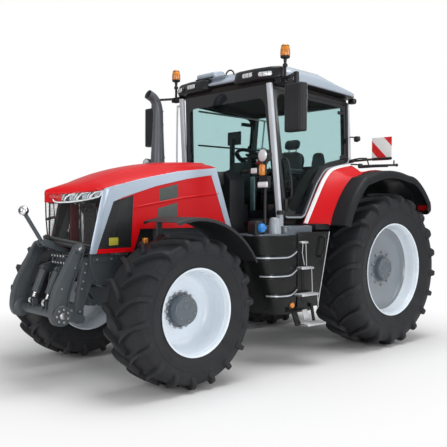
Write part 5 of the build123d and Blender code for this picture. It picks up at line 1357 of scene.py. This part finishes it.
def cab_skin():
    """Pillar covers, printed glass borders, hinges, handles, rails, one of them a bright tube
    that paints a highlight line, and the lining.
    """
    cover = Parts()
    outline = rounded_rectangle(46, 70, 18)
    rings = []
    for z in np.linspace(1500, 3010, 12):
        x = a_line(z) + 30
        rise = (z - 1540) / 1480
        y = cab_y(x, z) - 8 + 58 * rise
        rings.append(at_height(outline + [x, y], z))
    cover.solid(np.array(rings))
    cover.mirrored().piece("front_pillar_covers", PILLAR, slot="rim_silver", smooth=45)
    printed = Parts()
    outer = rounded(inset(SIDE_OUTLINE, 30), 30, 8)
    inner = rounded(inset(SIDE_OUTLINE, 88), 120, 8)
    ring_plate(printed, outer, inner, 17.5, 18.6, on_cab_side)
    printed.piece("door_glass_border", SCREEN, "door_left", slot="window_glass")
    fixed = Parts()
    ring_plate(fixed, rounded(inset(SIDE_OUTLINE, 4), 30, 8), inner, 8, 9.5,
               lambda p: on_cab_side(p) * [1, -1, 1])
    fixed.piece("side_glass_border", SCREEN, slot="window_glass")
    front = Parts()
    slope = (A_TOP[0] - A_FOOT[0]) / (A_TOP[1] - A_FOOT[1])

    def on_windshield(p):
        """Carries (y, height over the foot, distance out) to the leaning front glass."""
        z = 1540 + p[..., 1:2]
        return np.concatenate([1530 + slope * p[..., 1:2] + p[..., 2:3], p[..., 0:1], z], -1)

    outer = rounded([(-796, 6), (796, 6), (700, 1472), (-700, 1472)], 30, 8)
    inner = rounded([(-716, 90), (716, 90), (636, 1330), (-636, 1330)], 110, 8)
    ring_plate(front, outer, inner, 6.8, 8.2, on_windshield)
    front.piece("windshield_border", SCREEN, slot="window_glass")
    # Rails inside: a bright steel tube along the top of the right side window and down its rear
    # edge, put in as a painted highlight line along that edge, and a dark rail low across the
    # right window.
    rails = Parts()
    path = [(1440, -712, 2880), (840, -700, 2874), (262, -700, 2868), (240, -702, 2840),
            (250, -712, 2660), (268, -722, 2462)]
    rails.pipe(path, 40, 12, 10)
    rails.piece("cab_window_edge_highlight_rail", STEEL, smooth=50)
    dark = Parts()
    path = [(1430, -722, 2452), (900, -730, 2455), (300, -735, 2458)]
    dark.pipe(path, 12, 11, 10)
    for x, z in ((500, 2800), (440, 2262)):
        at = on_cab_side(np.array([x, z, 27.0])) * [1, -1, 1]
        dark.brick(at - [90, 20, 24], at + [90, 20, 24], 8)
    dark.piece("cab_dark_fittings", BLACK, smooth=45)
    door = Parts()
    for x, z in ((500, 2800), (496, 2268)):
        at = on_cab_side(np.array([x, z, 38.0]))
        door.brick(at - [62, 11, 20], at + [62, 11, 20], 8)
    at = on_cab_side(np.array([1492, 1690, 38.0]))
    door.brick(at - [22, 11, 70], at + [22, 11, 70], 8)
    door.pipe([on_cab_side(np.array(v)) for v in (
        (1440, 1760, 22.0), (1430, 1790, 62.0), (1440, 2000, 70.0), (1470, 2180, 62.0),
        (1480, 2210, 22.0))], 30, 11, 12)
    door.piece("door_fittings", BLACK, "door_left", smooth=45)
    seam = Parts()
    edge = rounded(inset(SIDE_OUTLINE, 16), 60, 8)
    edge = edge[(edge[:, 1] < 2300) & (edge[:, 0] < 1500)]
    edge = edge[np.argsort(-edge[:, 0] + 0.4 * edge[:, 1])]
    path = on_cab_side(at_height(edge, 26.0))
    seam.solid(moulding(path, (0, 1, 0.1), 20, 7))
    seam.piece("door_edge_seam", LIGHT_GREY, "door_left", slot="black_plastic", smooth=50)
    back = Parts()
    path = curve_through([(352, 742, 2940), (350, 764, 2600), (356, 784, 2240)], 20)
    path[:, 1] += 26
    path[:, 0] -= 34
    back.solid(moulding(path, (-0.4, 1, 0), 40, 14))
    back.mirrored().piece("rear_pillar_strip", PILLAR, slot="rim_silver", smooth=50)
    # A pale handrail stands ahead of the right front post.
    rail = Parts()
    rail.pipe([(1600, -800, 2930), (1690, -812, 2925), (1704, -815, 2860), (1690, -840, 2200),
               (1676, -850, 1760), (1640, -850, 1720), (1560, -846, 1715)], 60, 11, 12)
    rail.piece("right_handrail", PILLAR, smooth=50)
    lining = Parts()
    wall = [(1210, 1542), (1210, 1560), (960, 1925), (800, 2096), (400, 2140), (400, 1542)]
    sill = [(1205, 1541), (1512, 1541), (1500, 1600), (1215, 1600)]
    cheek = [(1210, 1560), (960, 1935), (800, 2104), (400, 2150), (400, 2172), (812, 2128),
             (976, 1955), (1222, 1580)]
    for outline, near, far, edge in ((wall, 545, 560, 4), (sill, 690, 735, 6),
                                     (cheek, 560, 765, 4)):
        for hand in (1, -1):
            lining.slab(outline, near * hand, far * hand, edge)
    lining.piece("cab_wall_lining", LINER, smooth=45)


cab_skin()


# ---- roof fittings ----
def oblong_lamp(dark, bright, at, toward, width, height, depth=50):
    """A rounded lamp that looks along toward: its case, bright face and ribs."""
    toward = np.asarray(toward, float) / np.linalg.norm(toward)
    side = np.cross((0, 0, 1), toward)
    place = upright(at, side)
    flip = np.sign(np.dot(np.cross(side, (0, 0, 1)), toward))
    case = rounded_rectangle(width, height, 0.35 * height)
    dark.solid(pressed(case, -depth, 0, 8, 2, lambda p: place(p * [1, 1, flip])))
    cup = rounded_rectangle(width - 14, height - 14, 0.3 * height)
    bright.solid(pressed(cup, -4, 3, 3, 2, lambda p: place(p * [1, 1, flip])))
    for share in (-0.17, 0.17):
        rib = rounded_rectangle(3, height - 18, 1) + [share * width, 0]
        dark.solid(pressed(rib, 2, 5, 0.8, 2, lambda p: place(p * [1, 1, flip])))


def roof_fittings():
    """Lamp pods with two lamps each, rear lamps, and the receiver with its handle."""
    dark, bright = Parts(), Parts()
    plan = rounded([(1560, 226), (1735, 226), (1772, 300), (1770, 560), (1716, 790), (1640, 878),
                    (1560, 878)], 46)
    rings = pressed(plan, 3050, 3192, 34, 5)
    lean = np.clip((rings[..., 2] - 3050) / 142, 0, 1)
    rings[..., 0] -= 34 * lean**1.5 * np.clip((rings[..., 0] - 1560) / 200, 0, 1)
    dark.solid(rings)
    for at, toward, width in (((1766, 480, 3118), (1, 0.03, 0.1), 158),
                              ((1740, 728, 3106), (1, 0.36, 0.1), 176)):
        oblong_lamp(dark, bright, at, toward, width, 62, 40)
    for at in ((292, 842, 2955), (250, 500, 3040)):
        oblong_lamp(dark, bright, at, (-1, 0.12 if at[1] > 600 else 0, -0.12), 92, 66, 60)
    oblong_lamp(dark, bright, (285, 918, 2500), (-1, 0.4, -0.2), 70, 60, 56)
    dark.mirrored().piece("roof_lamp_pods", BLACK, slot="black_plastic", smooth=45,
                          stands_for=("roof_pods",))
    bright.mirrored().piece("roof_lamp_faces", LAMP_BOWL, slot="lamp_glass", smooth=45)
    receiver = Parts()
    outline = rounded([(1420, 3215), (1424, 3288), (1560, 3298), (1688, 3268), (1700, 3226),
                       (1640, 3180)], 22)
    base = outline * [1, 0.35] + [0, 3180 * 0.65]
    receiver.slab(base, -468, 8, 12)
    wedge = rounded([(1500, 3200), (1505, 3280), (1560, 3292), (1684, 3266), (1694, 3226),
                     (1660, 3200)], 20)
    receiver.slab(wedge, -466, -150, 14)
    receiver.slab(wedge * [1, 0.5] + [0, 1620], -440, -176, 10)
    receiver.piece("roof_receiver", ROOF, slot="roof_white", smooth=45)
    loop = Parts()
    loop.pipe([(1600, -30, 3190), (1605, -24, 3238), (1604, 26, 3266), (1602, 80, 3248),
               (1600, 110, 3195)], 30, 9, 12)
    loop.pipe([(1676, -440, 3212), (1704, -444, 3200), (1704, -180, 3200), (1676, -176, 3212)],
              24, 7, 10)
    loop.piece("roof_handle", BLACK, smooth=45)


def beacons_and_mirrors():
    """Amber domes on black feet, the lamps on each post, and the mirrors' glass, ribs and
    tube loops."""
    amber, foot = Parts(), Parts()
    for hand in (1, -1):
        at = (1637, 926 * hand, 0)
        amber.turned([(3278, 0), (3278, 50), (3288, 54), (3356, 50), (3380, 44), (3388, 40)], at,
                     "z", 36)
        for z in (3302, 3320, 3338):
            amber.ring([(z, 50), (z + 3, 54.5), (z + 6, 50)], at, "z", 36)
        amber.turned([(3386, 42), (3400, 34), (3405, 16), (3406, 0)], at, "z", 36)
        foot.turned([(3218, 0), (3218, 17), (3248, 19), (3256, 44), (3262, 50), (3278, 52),
                     (3282, 48), (3282, 0)], at, "z", 36)
        foot.turned([(3380, 0), (3380, 44), (3387, 44), (3389, 40), (3389, 0)], at, "z", 36)
        foot.turned([(3166, 0), (3166, 22), (3172, 26), (3192, 26), (3198, 22), (3198, 0)], at,
                    "z", 24)
        # The indicator on each post.
        amber.brick((2034, 968 * hand, 1990), (2078, 1032 * hand, 2104), 14, 18)
        for y in (982, 1000, 1018):
            amber.brick((2074, (y - 4) * hand, 2000), (2082, (y + 4) * hand, 2094), 3)
    amber.piece("amber_domes", AMBER, slot="amber_plastic", smooth=50,
                stands_for=("amber_lamps",))
    bright = Parts()
    for hand in (1, -1):
        # The round lamp and the white lamps on each post.
        y = 1000 * hand
        foot.turned([(1972, 0), (1975, 34), (1990, 58), (2020, 69), (2050, 70), (2056, 66),
                     (2052, 60)], (0, y, 2195), "x", 40)
        bright.turned([(2040, 0), (2040, 63), (2053, 63), (2060, 52), (2065, 30), (2067, 0)],
                      (0, y, 2195), "x", 40)
        for r in (18, 34, 50):
            bright.ring([(2056, r - 2), (2068 - r * r * 0.003, r), (2056, r + 2)], (0, y, 2195),
                        "x", 40)
        bright.brick((2046, y - 164 * hand, 2016), (2058, y - 80 * hand, 2070), 8)
        foot.brick((2010, y - 168 * hand, 2012), (2047, y - 30 * hand, 2074), 10)
        foot.brick((2018, y - 36, 1985), (2040, y + 36, 2112), 8)
        foot.brick((1996, y - 72, 1862), (2042, y + 72, 1934), 16)
        bright.brick((2036, y - 66, 1868), (2058, y + 66, 1928), 10)
        for offset in np.linspace(-48, 48, 7):
            bright.brick((2056, y + offset - 2, 1876), (2061, y + offset + 2, 1920), 1.5)
        foot.turned([(2112, 0), (2112, 20), (2130, 22), (2134, 0)], (2000, y, 0), "z", 20)
        # Mirror glass on the side that faces back, ribs on the front, and a tube loop.
        x, y = 1787, 1209 * hand
        bright.brick((x - 58, y - 104, 2466), (x - 53, y + 104, 2908), 2)
        for rib in np.linspace(-84, 84, 8):
            foot.brick((x + 50, y + rib - 5, 2475), (x + 58, y + rib + 5, 2900), 3)
        for path, aside, count, r in (
            (((-10, 3036), (16, 3010), (26, 2950), (30, 2800), (10, 2760)), 30, 30, 9),
            (((-60, 2940), (-62, 3010), (-40, 3048), (0, 3044)), 20, 24, 8),
        ):
            path = [(x + ahead, y - aside * hand, z) for ahead, z in path]
            foot.pipe(path, count, r, 12)
    foot.piece("lamp_feet", BLACK, slot="black_plastic", smooth=40)
    bright.piece("post_lamp_faces", LAMP_BOWL, slot="lamp_glass", smooth=50,
                 stands_for=("post_lamps",))


def plate_linkages():
    """The twin bars, joint and beam that carry each plate, and the camera by the cab."""
    bars = Parts()
    for path, r in (
        ([(330, 830, 2244), (320, 880, 2252), (300, 948, 2262), (250, 1010, 2262)], 9),
        ([(330, 830, 2196), (330, 900, 2190), (340, 980, 2180)], 9),
        ([(350, 980, 2166), (200, 1050, 2176), (-120, 1060, 2196), (-312, 1060, 2206)], 14),
        ([(340, 990, 2146), (140, 1056, 2164), (-120, 1060, 2180)], 8),
        ([(250, 1010, 2262), (240, 1030, 2180)], 8),
        ([(-250, 1064, 2196), (-250, 1064, 2262)], 9),
        ([(365, 838, 2520), (340, 884, 2516), (317, 900, 2490)], 8),
    ):
        bars.pipe(path, 16, r, 10)
    bars.brick((318, 958, 2140), (374, 1010, 2196), 14)
    bars.grid(ball((-316, 1060, 2207), 21))
    bars.brick((286, 876, 2462), (344, 926, 2514), 14)
    bars.mirrored().piece("plate_linkages", BLACK, slot="black_paint", smooth=45)


def corner_brackets():
    """Ribbed blocks that carry the mirror arms at the roof's front corners."""
    ribs = Parts()
    for hand in (1, -1):
        ribs.brick((1600, 800 * hand, 2996), (1676, 905 * hand, 3050), 12)
        ribs.brick((1610, 900 * hand, 3008), (1664, 985 * hand, 3046), 8)
        for y in np.arange(820, 980, 20.0):
            ribs.brick((1596, y * hand, 2992), (1680, (y + 5) * hand, 3052), 2)
    ribs.piece("mirror_arm_brackets", BLACK, slot="black_paint", smooth=40)


roof_fittings()
beacons_and_mirrors()
plate_linkages()
corner_brackets()


# ---- front lift ----
def bolt_heads(parts, places, y, hand, size=9.0, height=8.0):
    """Six-sided heads on washers, at (station, height) places on a side that faces out."""
    for x, z in places:
        parts.turned([(0, 0), (0, size * 1.35), (2, size * 1.35), (2, 0)], (x, y, z), "y", 20,
                     hand)
        parts.turned([(2, 0), (2, size), (height, size), (height + 1, size - 2), (height + 1, 0)],
                     (x, y, z), "y", 6, hand)


def front_lift_details():
    """Slim forged arms with a raised rim and a bolted hub disc, the frame's cheeks with
    their bolts, couplers and hoses between the arms, and the link's polished ball."""
    outline = rounded([(3760, 1262), (3764, 1304), (3800, 1328), (3842, 1322), (3866, 1290),
                       (3966, 1112), (4064, 934), (4100, 800), (4106, 690), (4078, 624),
                       (4030, 598), (3972, 600), (3926, 636), (3916, 700), (3922, 780),
                       (3912, 860), (3874, 980), (3800, 1150)], 40, 5)
    inner = inset(outline, 17)
    eye, fold = (3992, 0, 690), (3812, 0, 1278)  # middles of the arm's two pins
    for hand, side in ((1, "left"), (-1, "right")):
        arm, bright = Parts(), Parts()
        arm.slab(inner, 366 * hand, 404 * hand, 8)
        section = ((outline, 360), (outline, 410), (inner, 414), (inner, 356))
        rings = [np.column_stack([e[:, 0], np.full(len(e), y * hand), e[:, 1]]) for e,
                 y in section]
        arm.grid(np.array(rings), close_rows=True, close_columns=True)
        arm.turned([(350, 0), (350, 84), (356, 92), (418, 92), (424, 86), (424, 0)], eye, "y", 56,
                   hand)
        arm.turned([(352, 0), (352, 40), (418, 40), (420, 36), (420, 0)], fold, "y", 36, hand)
        bright.turned([(346, 0), (346, 18), (424, 18), (427, 14), (427, 0)], fold, "y", 28, hand)
        bright.turned([(424, 0), (424, 30), (432, 30), (436, 24), (436, 0)], eye, "y", 32, hand)
        turn = np.arange(7) * 2 * np.pi / 7
        bolt_heads(bright, np.column_stack([eye[0] + 58 * np.cos(turn),
                                            eye[2] + 58 * np.sin(turn)]), 424 * hand, hand)
        bolt_heads(bright, [(3856, 1108), (3990, 930)], 404 * hand, hand, 6, 5)
        body = f"front_arm_{side}"
        arm.piece(f"front_arm_{side}_forging", CAST, body, slot="dark_cast", smooth=40,
                  stands_for=(f"front_arm_{side}",))
        bright.piece(f"front_arm_{side}_bolts", STEEL, body, smooth=40)
    cheek, bolts = Parts(), Parts()
    cheek.slab(rounded([(3300, 1218), (3632, 1218), (3640, 1130), (3560, 930), (3330, 900),
                        (3200, 1150)], 24), 250, 292, 8)
    cheek.slab(rounded([(3330, 1190), (3600, 1190), (3600, 1140), (3290, 1120)], 14), 288, 298, 4)
    strut = rounded([(3640, 1176), (3706, 1160), (3806, 640), (3790, 590), (3742, 590),
                     (3722, 640)], 20)
    cheek.slab(strut, 252, 293.5, 7)
    bolt_heads(bolts, [(3676, 1130), (3690, 1050), (3708, 968), (3722, 900), (3742, 690)], 293.5,
               1, 8, 7)
    bolt_heads(bolts, [(3400, 1165), (3560, 1165), (3440, 960), (3360, 960)], 298, 1, 9, 8)
    cheek.mirrored().piece("front_frame_cheeks", CAST, slot="dark_cast", smooth=40)
    bolts.mirrored().piece("front_frame_bolts", STEEL, smooth=40)
    # Quick couplers in a bank between the cheeks, and their hoses.
    bank, shine, hose = Parts(), Parts(), Parts()
    bank.brick((3700, -150, 1080), (3752, 150, 1232), 8)
    bank.brick((3712, -110, 960), (3760, 90, 1084), 8)
    for row, z in enumerate((1195, 1130)):
        for y in (-120, -66, -12, 42, 96):
            at = (3752, y + 9 * row, z)
            bank.turned([(0, 0), (0, 22), (16, 22), (18, 19), (46, 18), (50, 15), (50, 0)], at,
                        "x", 18)
            shine.ring([(18, 18), (18, 21), (30, 21), (30, 18)], at, "x", 18)
            shine.turned([(49, 0), (49, 12), (56, 10), (58, 0)], at, "x", 14)
    for y, z in ((-70, 1030), (-10, 1020), (50, 1034)):
        shine.turned([(0, 0), (0, 15), (20, 15), (24, 10), (40, 10), (40, 0)], (3760, y, z), "x",
                     6)
    for y, spread, drop in ((-96, -60, 940), (-40, -10, 900), (30, 40, 920), (84, 80, 960)):
        hose.pipe([(3760, y, 1080), (3800, y + spread * 0.2, 1040),
                   (3820, y + spread * 0.5, drop + 40), (3780, y + spread * 0.8, drop),
                   (3690, y + spread, drop + 10)], 26, 9, 10)
    for hand in (1, -1):
        hose.pipe([(3660, 210 * hand, 1190), (3700, 200 * hand, 1100), (3640, 205 * hand, 900),
                   (3560, 215 * hand, 780)], 24, 10, 10)
    bank.piece("coupler_bank", CAST, slot="dark_cast", smooth=40)
    shine.piece("coupler_rings", CHROME, smooth=40)
    hose.piece("front_lift_hoses", RUBBER, slot="edge_rubber", smooth=50)
    tip = Parts()
    tip.grid(ball((4154, 0, 1624), 47))
    tip.piece("top_link_ball", CHROME, smooth=60)


front_lift_details()


# ---- cab interior ----
def soften(piece, cap=0.012, cells=0.007):
    """A pad: even cells, then twenty frames of cloth under inner pressure with no weight,
    no point moving further than the cap, and one subdivision."""
    remesh = piece.modifiers.new("even_cells", "REMESH")
    remesh.mode = "VOXEL"
    remesh.voxel_size = cells
    graph = bpy.context.evaluated_depsgraph_get()
    data = bpy.data.meshes.new_from_object(piece.evaluated_get(graph))
    piece.modifiers.clear()
    piece.data = data
    rest = np.empty(len(data.vertices) * 3)
    data.vertices.foreach_get("co", rest)
    rest = rest.reshape(-1, 3)
    moved = rest
    cloth = piece.modifiers.new("inner_pressure", "CLOTH")
    cloth.settings.use_pressure = True
    cloth.settings.uniform_pressure_force = 4.0
    cloth.settings.quality = 4
    cloth.settings.effector_weights.gravity = 0.0
    scene = bpy.context.scene
    for step in range(1, 21):
        scene.frame_set(step)
    graph = bpy.context.evaluated_depsgraph_get()
    blown = piece.evaluated_get(graph).to_mesh()
    moved = np.empty(len(blown.vertices) * 3)
    blown.vertices.foreach_get("co", moved)
    moved = moved.reshape(-1, 3)
    piece.modifiers.clear()
    scene.frame_set(1)
    drift = moved - rest
    drift -= drift.mean(axis=0)
    far = np.linalg.norm(drift, axis=1, keepdims=True)
    moved = rest + drift * np.minimum(1.0, cap / np.maximum(far, 1e-9))
    data.vertices.foreach_set("co", moved.ravel())
    data.materials.clear()
    data.materials.append(FABRIC)
    data.shade_smooth()
    swell = piece.modifiers.new("soft_surface", "SUBSURF")
    swell.levels = swell.render_levels = 1
    return piece


def channelled(rings, across, lines, depth=7.0, width=9.0):
    """Presses sewn channels into a grid of points: each sinks toward the pad's middle by
    the depth where it crosses one of the lines, given as values of the across axis."""
    middle = rings.reshape(-1, 3).mean(axis=0)
    sink = sum(np.exp(-((rings[..., across] - line) / width) ** 2) for line in lines)
    inward = middle - rings
    inward /= np.maximum(np.linalg.norm(inward, axis=-1, keepdims=True), 1e-9)
    return rings + inward * (depth * sink)[..., None]


def dense(outline, step=14.0):
    """More points along a closed outline, about a step apart."""
    made = []
    for a, b in zip(outline, np.roll(outline, -1, 0)):
        count = max(1, int(np.linalg.norm(b - a) / step))
        made += [a + (b - a) * t for t in np.arange(count) / count]
    return np.array(made)


def seat():
    """The driver's seat: a crowned cushion, a waisted back with bolsters and a head pad,
    each swollen as cloth, on a dark pan with armrests."""
    cushion = dense(rounded_rectangle(396, 476, 70))
    rings = pressed(cushion, 1888, 1978, 34, 8)
    rings[..., 0] += 750
    rings[..., 2] -= 10 * np.clip(1 - np.abs(rings[..., 1]) / 150, 0, 1) * (rings[..., 2] > 1930)
    pad = Parts()
    pad.solid(channelled(rings, 1, (-158, 158), 9))
    soften(pad.piece("seat_cushion", FABRIC, stands_for=("seat",)))
    lean = np.array([-125.0, 460.0]) / 476.6  # the way up along the leaning back

    def place(p):
        """Carries (across, up, out) to the leaning back of the seat."""
        up, out = p[..., 1:2], p[..., 2:3]
        return np.concatenate([530 + lean[0] * up + lean[1] * out, p[..., 0:1],
                               2190 + lean[1] * up - lean[0] * out], axis=-1)

    back = rounded([(-205, -205), (205, -205), (226, -60), (206, 120), (150, 205), (-150, 205),
                    (-206, 120), (-226, -60)], 60, 6)
    pad = Parts()
    rings = channelled(place(pressed(dense(back), -40, 40, 26, 7)), 1, (-140, 140), 8)
    pad.solid(rings)
    soften(pad.piece("seat_back", FABRIC))
    head = rounded_rectangle(236, 128, 48) + [0, 295]
    pad = Parts()
    pad.solid(place(pressed(dense(head), -28, 30, 20, 6)))
    soften(pad.piece("seat_headrest", FABRIC))
    for hand in (1, -1):
        rest = dense(rounded_rectangle(300, 62, 26), 10) + [740, 306 * hand]
        pad = Parts()
        pad.solid(pressed(rest, 2092, 2140, 20, 5))
        side = "left" if hand > 0 else "right"
        soften(pad.piece(f"armrest_pad_{side}", FABRIC), 0.008)
    jump = dense(rounded([(352, 2030), (540, 2030), (560, 2220), (520, 2352), (380, 2352),
                          (340, 2220)], 50, 5))
    pad = Parts()
    pad.solid(pressed(jump, 452, 508, 22, 6, lambda p: p[..., [2, 0, 1]]))
    soften(pad.piece("second_seat_back", FABRIC))
    pan = Parts()
    pan.brick((436, 360, 1840), (560, 540, 2030), 20, 40)
    pan.brick((560, -226, 1852), (930, 226, 1886), 14, 50)
    pan.brick((600, -150, 1500), (860, 150, 1856), 20, 60)
    shell_outline = rounded([(-190, -215), (190, -215), (206, 100), (150, 190), (-150, 190),
                             (-206, 100)], 50, 5)
    pan.solid(place(pressed(shell_outline, -62, -44, 7, 3)))
    for hand in (1, -1):
        pan.brick((600, 286 * hand, 2062), (880, 328 * hand, 2090), 8)
        pan.brick((560, 262 * hand, 1960), (620, 300 * hand, 2080), 10)
        path = [(452, 60 * hand, 2370), (446, 60 * hand, 2440)]
        pan.solid(tube(path, 7, 10))
    # The right-hand console, its levers and grip; the wheel, column and the rear shelf.
    pan.brick((640, -470, 1700), (1120, -350, 2070), 26, 50)
    pan.brick((420, -540, 1560), (620, 540, 1840), 30, 50)
    pan.brick((1180, -330, 1500), (1420, 330, 1560), 20, 40)
    pan.brick((1330, -260, 1560), (1490, 260, 2080), 40, 70)
    for x, y, lean_x in ((1040, -390, 30), (1000, -420, 10), (960, -390, -10)):
        path = [(x, y, 2066), (x + lean_x, y, 2150)]
        pan.solid(tube(path, 6, 8))
        pan.grid(ball((x + lean_x, y, 2160), 17, 10))
    pan.pipe([(900, -410, 2066), (905, -410, 2110), (930, -410, 2170), (935, -410, 2200)], 12,
             np.linspace(18, 30, 12), 14)
    pan.piece("seat_pan_and_console", PLASTIC, slot="black_plastic", smooth=45)
    warm = Parts()
    warm.brick((1338, -214, 2060), (1470, 214, 2112), 22, 60)
    warm.brick((1210, 480, 1541), (1450, 560, 1700), 18, 30)
    warm.brick((1100, -560, 1541), (1480, -470, 1780), 20, 40)
    warm.piece("cab_warm_panels", finish("warm_brown_panel", (0.075, 0.035, 0.033), 0.6,
                                         specular=0.2), smooth=45)
    pale = Parts()
    for y in (-300, 300):
        pale.brick((1470, y - 34, 1620), (1492, y + 34, 2020), 9, 12)
    pale.brick((1440, -120, 1560), (1500, 120, 1700), 14, 30)
    pale.piece("cab_grey_trims", DISC_SHADE_AND_TRIM_GREY, smooth=45)
    wheel = Parts()
    turn = np.linspace(0, 2 * np.pi, 64)
    axis = np.array([-0.503, 0, 0.864])
    first = np.cross((0, 1, 0), axis)
    ring = (np.array([1215, 0, 2255]) + 190 * (np.cos(turn)[:, None] * first
            + np.sin(turn)[:, None] * np.array([0, 1.0, 0])))
    wheel.grid(tube(ring, 17, 14), close_columns=True)
    wheel.piece("steering_wheel_rim", RUBBER, slot="black_plastic", smooth=60)
    face = Parts()
    face.brick((1286, -302, 2440), (1289, -98, 2580), 1)
    face.piece("monitor_face", SCREEN, smooth=30)


seat()


# ---- stage ----
FLOOR_REACH = 60.0
LAMPS = (  # name, place, aim, size, power
    ("top_lamp", (-0.5, 1.5, 8.5), (0.2, 0.2, 1.0), 6.0, 470),
    ("side_lamp", (-4.0, 8.0, 4.5), (0.0, 0.6, 1.2), 4.0, 150),
    ("front_lamp", (9.0, 1.5, 4.0), (1.0, 0.2, 1.2), 4.0, 120),
    ("near_lamp", (5.0, 9.0, 2.4), (0.2, 0.8, 0.9), 4.0, 260),
)
CAMERA_AT = (5.393, 5.640, 1.663)
CAMERA_TURN = (227.11, 1.40, -0.30)  # degrees: heading, pitch down, roll


def build_floor(scene):
    """A pale floor that keeps the shadow and, away from the tractor, fades into plain white
    for the camera: the white is (distance from the middle) * (seen by the camera)."""
    data = bpy.data.meshes.new("studio_floor")
    corners = [(x * FLOOR_REACH, y * FLOOR_REACH, FLOOR_TOP) for x,
               y in ((-1, -1), (1, -1), (1, 1), (-1, 1))]
    data.from_pydata(corners, [], [(0, 1, 2, 3)])
    floor = bpy.data.objects.new("studio_floor", data)
    scene.collection.objects.link(floor)
    material, tree, shader = new_material("pale_floor")
    plug(shader, {"Base Color": (0.80, 0.80, 0.80, 1), "Roughness": 0.9,
                  "Specular IOR Level": 0.1})
    place = node(tree, "ShaderNodeTexCoord").outputs["Object"]
    distance = node(tree, "ShaderNodeVectorMath", {0: place}, operation="LENGTH")
    fade = node(tree, "ShaderNodeMapRange", {
        "Value": distance.outputs["Value"], "From Min": 2.2, "From Max": 4.6},
        interpolation_type="SMOOTHSTEP")
    path = node(tree, "ShaderNodeLightPath").outputs
    seen = maths(tree, "MULTIPLY", fade.outputs["Result"], path["Is Camera Ray"])
    glow = node(tree, "ShaderNodeEmission", {"Strength": 1.0})
    mix = node(tree, "ShaderNodeMixShader", {
        "Fac": seen, 1: shader.outputs["BSDF"], 2: glow.outputs["Emission"]})
    plug(tree.nodes["Material Output"], {"Surface": mix.outputs["Shader"]})
    data.materials.append(material)


def build_stage():
    """The floor, a surround that the camera sees white, soft round lamps and the camera."""
    scene = bpy.context.scene
    scene.view_settings.view_transform = "Standard"
    build_floor(scene)
    world = bpy.data.worlds.new("studio_surround")
    scene.world = world
    world.use_nodes = True
    tree = world.node_tree
    path = node(tree, "ShaderNodeLightPath").outputs
    seen = maths(tree, "MAXIMUM", path["Is Camera Ray"], path["Is Transmission Ray"])
    level = node(tree, "ShaderNodeMapRange", {"Value": seen, "To Min": 0.46, "To Max": 1.0})
    plug(tree.nodes["Background"], {"Color": (1, 1, 1, 1), "Strength": level.outputs["Result"]})
    for label, at, aim, size, power in LAMPS:
        data = bpy.data.lights.new(label, "AREA")
        data.shape, data.size, data.energy = "DISK", size, power
        lamp = bpy.data.objects.new(label, data)
        scene.collection.objects.link(lamp)
        lamp.location = at
        lamp.rotation_mode = "QUATERNION"
        lamp.rotation_quaternion = (Vector(aim) - Vector(at)).to_track_quat("-Z", "Y")
    data = bpy.data.cameras.new("camera")
    camera = bpy.data.objects.new("camera", data)
    scene.collection.objects.link(camera)
    scene.camera = camera
    data.sensor_width, data.lens, data.clip_end = 36.0, 52.84, 200.0
    data.shift_x, data.shift_y = -0.5 / 447, 0.0
    yaw, pitch, roll = (math.radians(a) for a in CAMERA_TURN)
    look = Vector((math.cos(pitch) * math.cos(yaw), math.cos(pitch) * math.sin(yaw),
                   -math.sin(pitch)))
    camera.location = CAMERA_AT
    camera.rotation_mode = "QUATERNION"
    camera.rotation_quaternion = (look.to_track_quat("-Z", "Y") @ Quaternion((0, 0, 1), -roll))


build_stage()
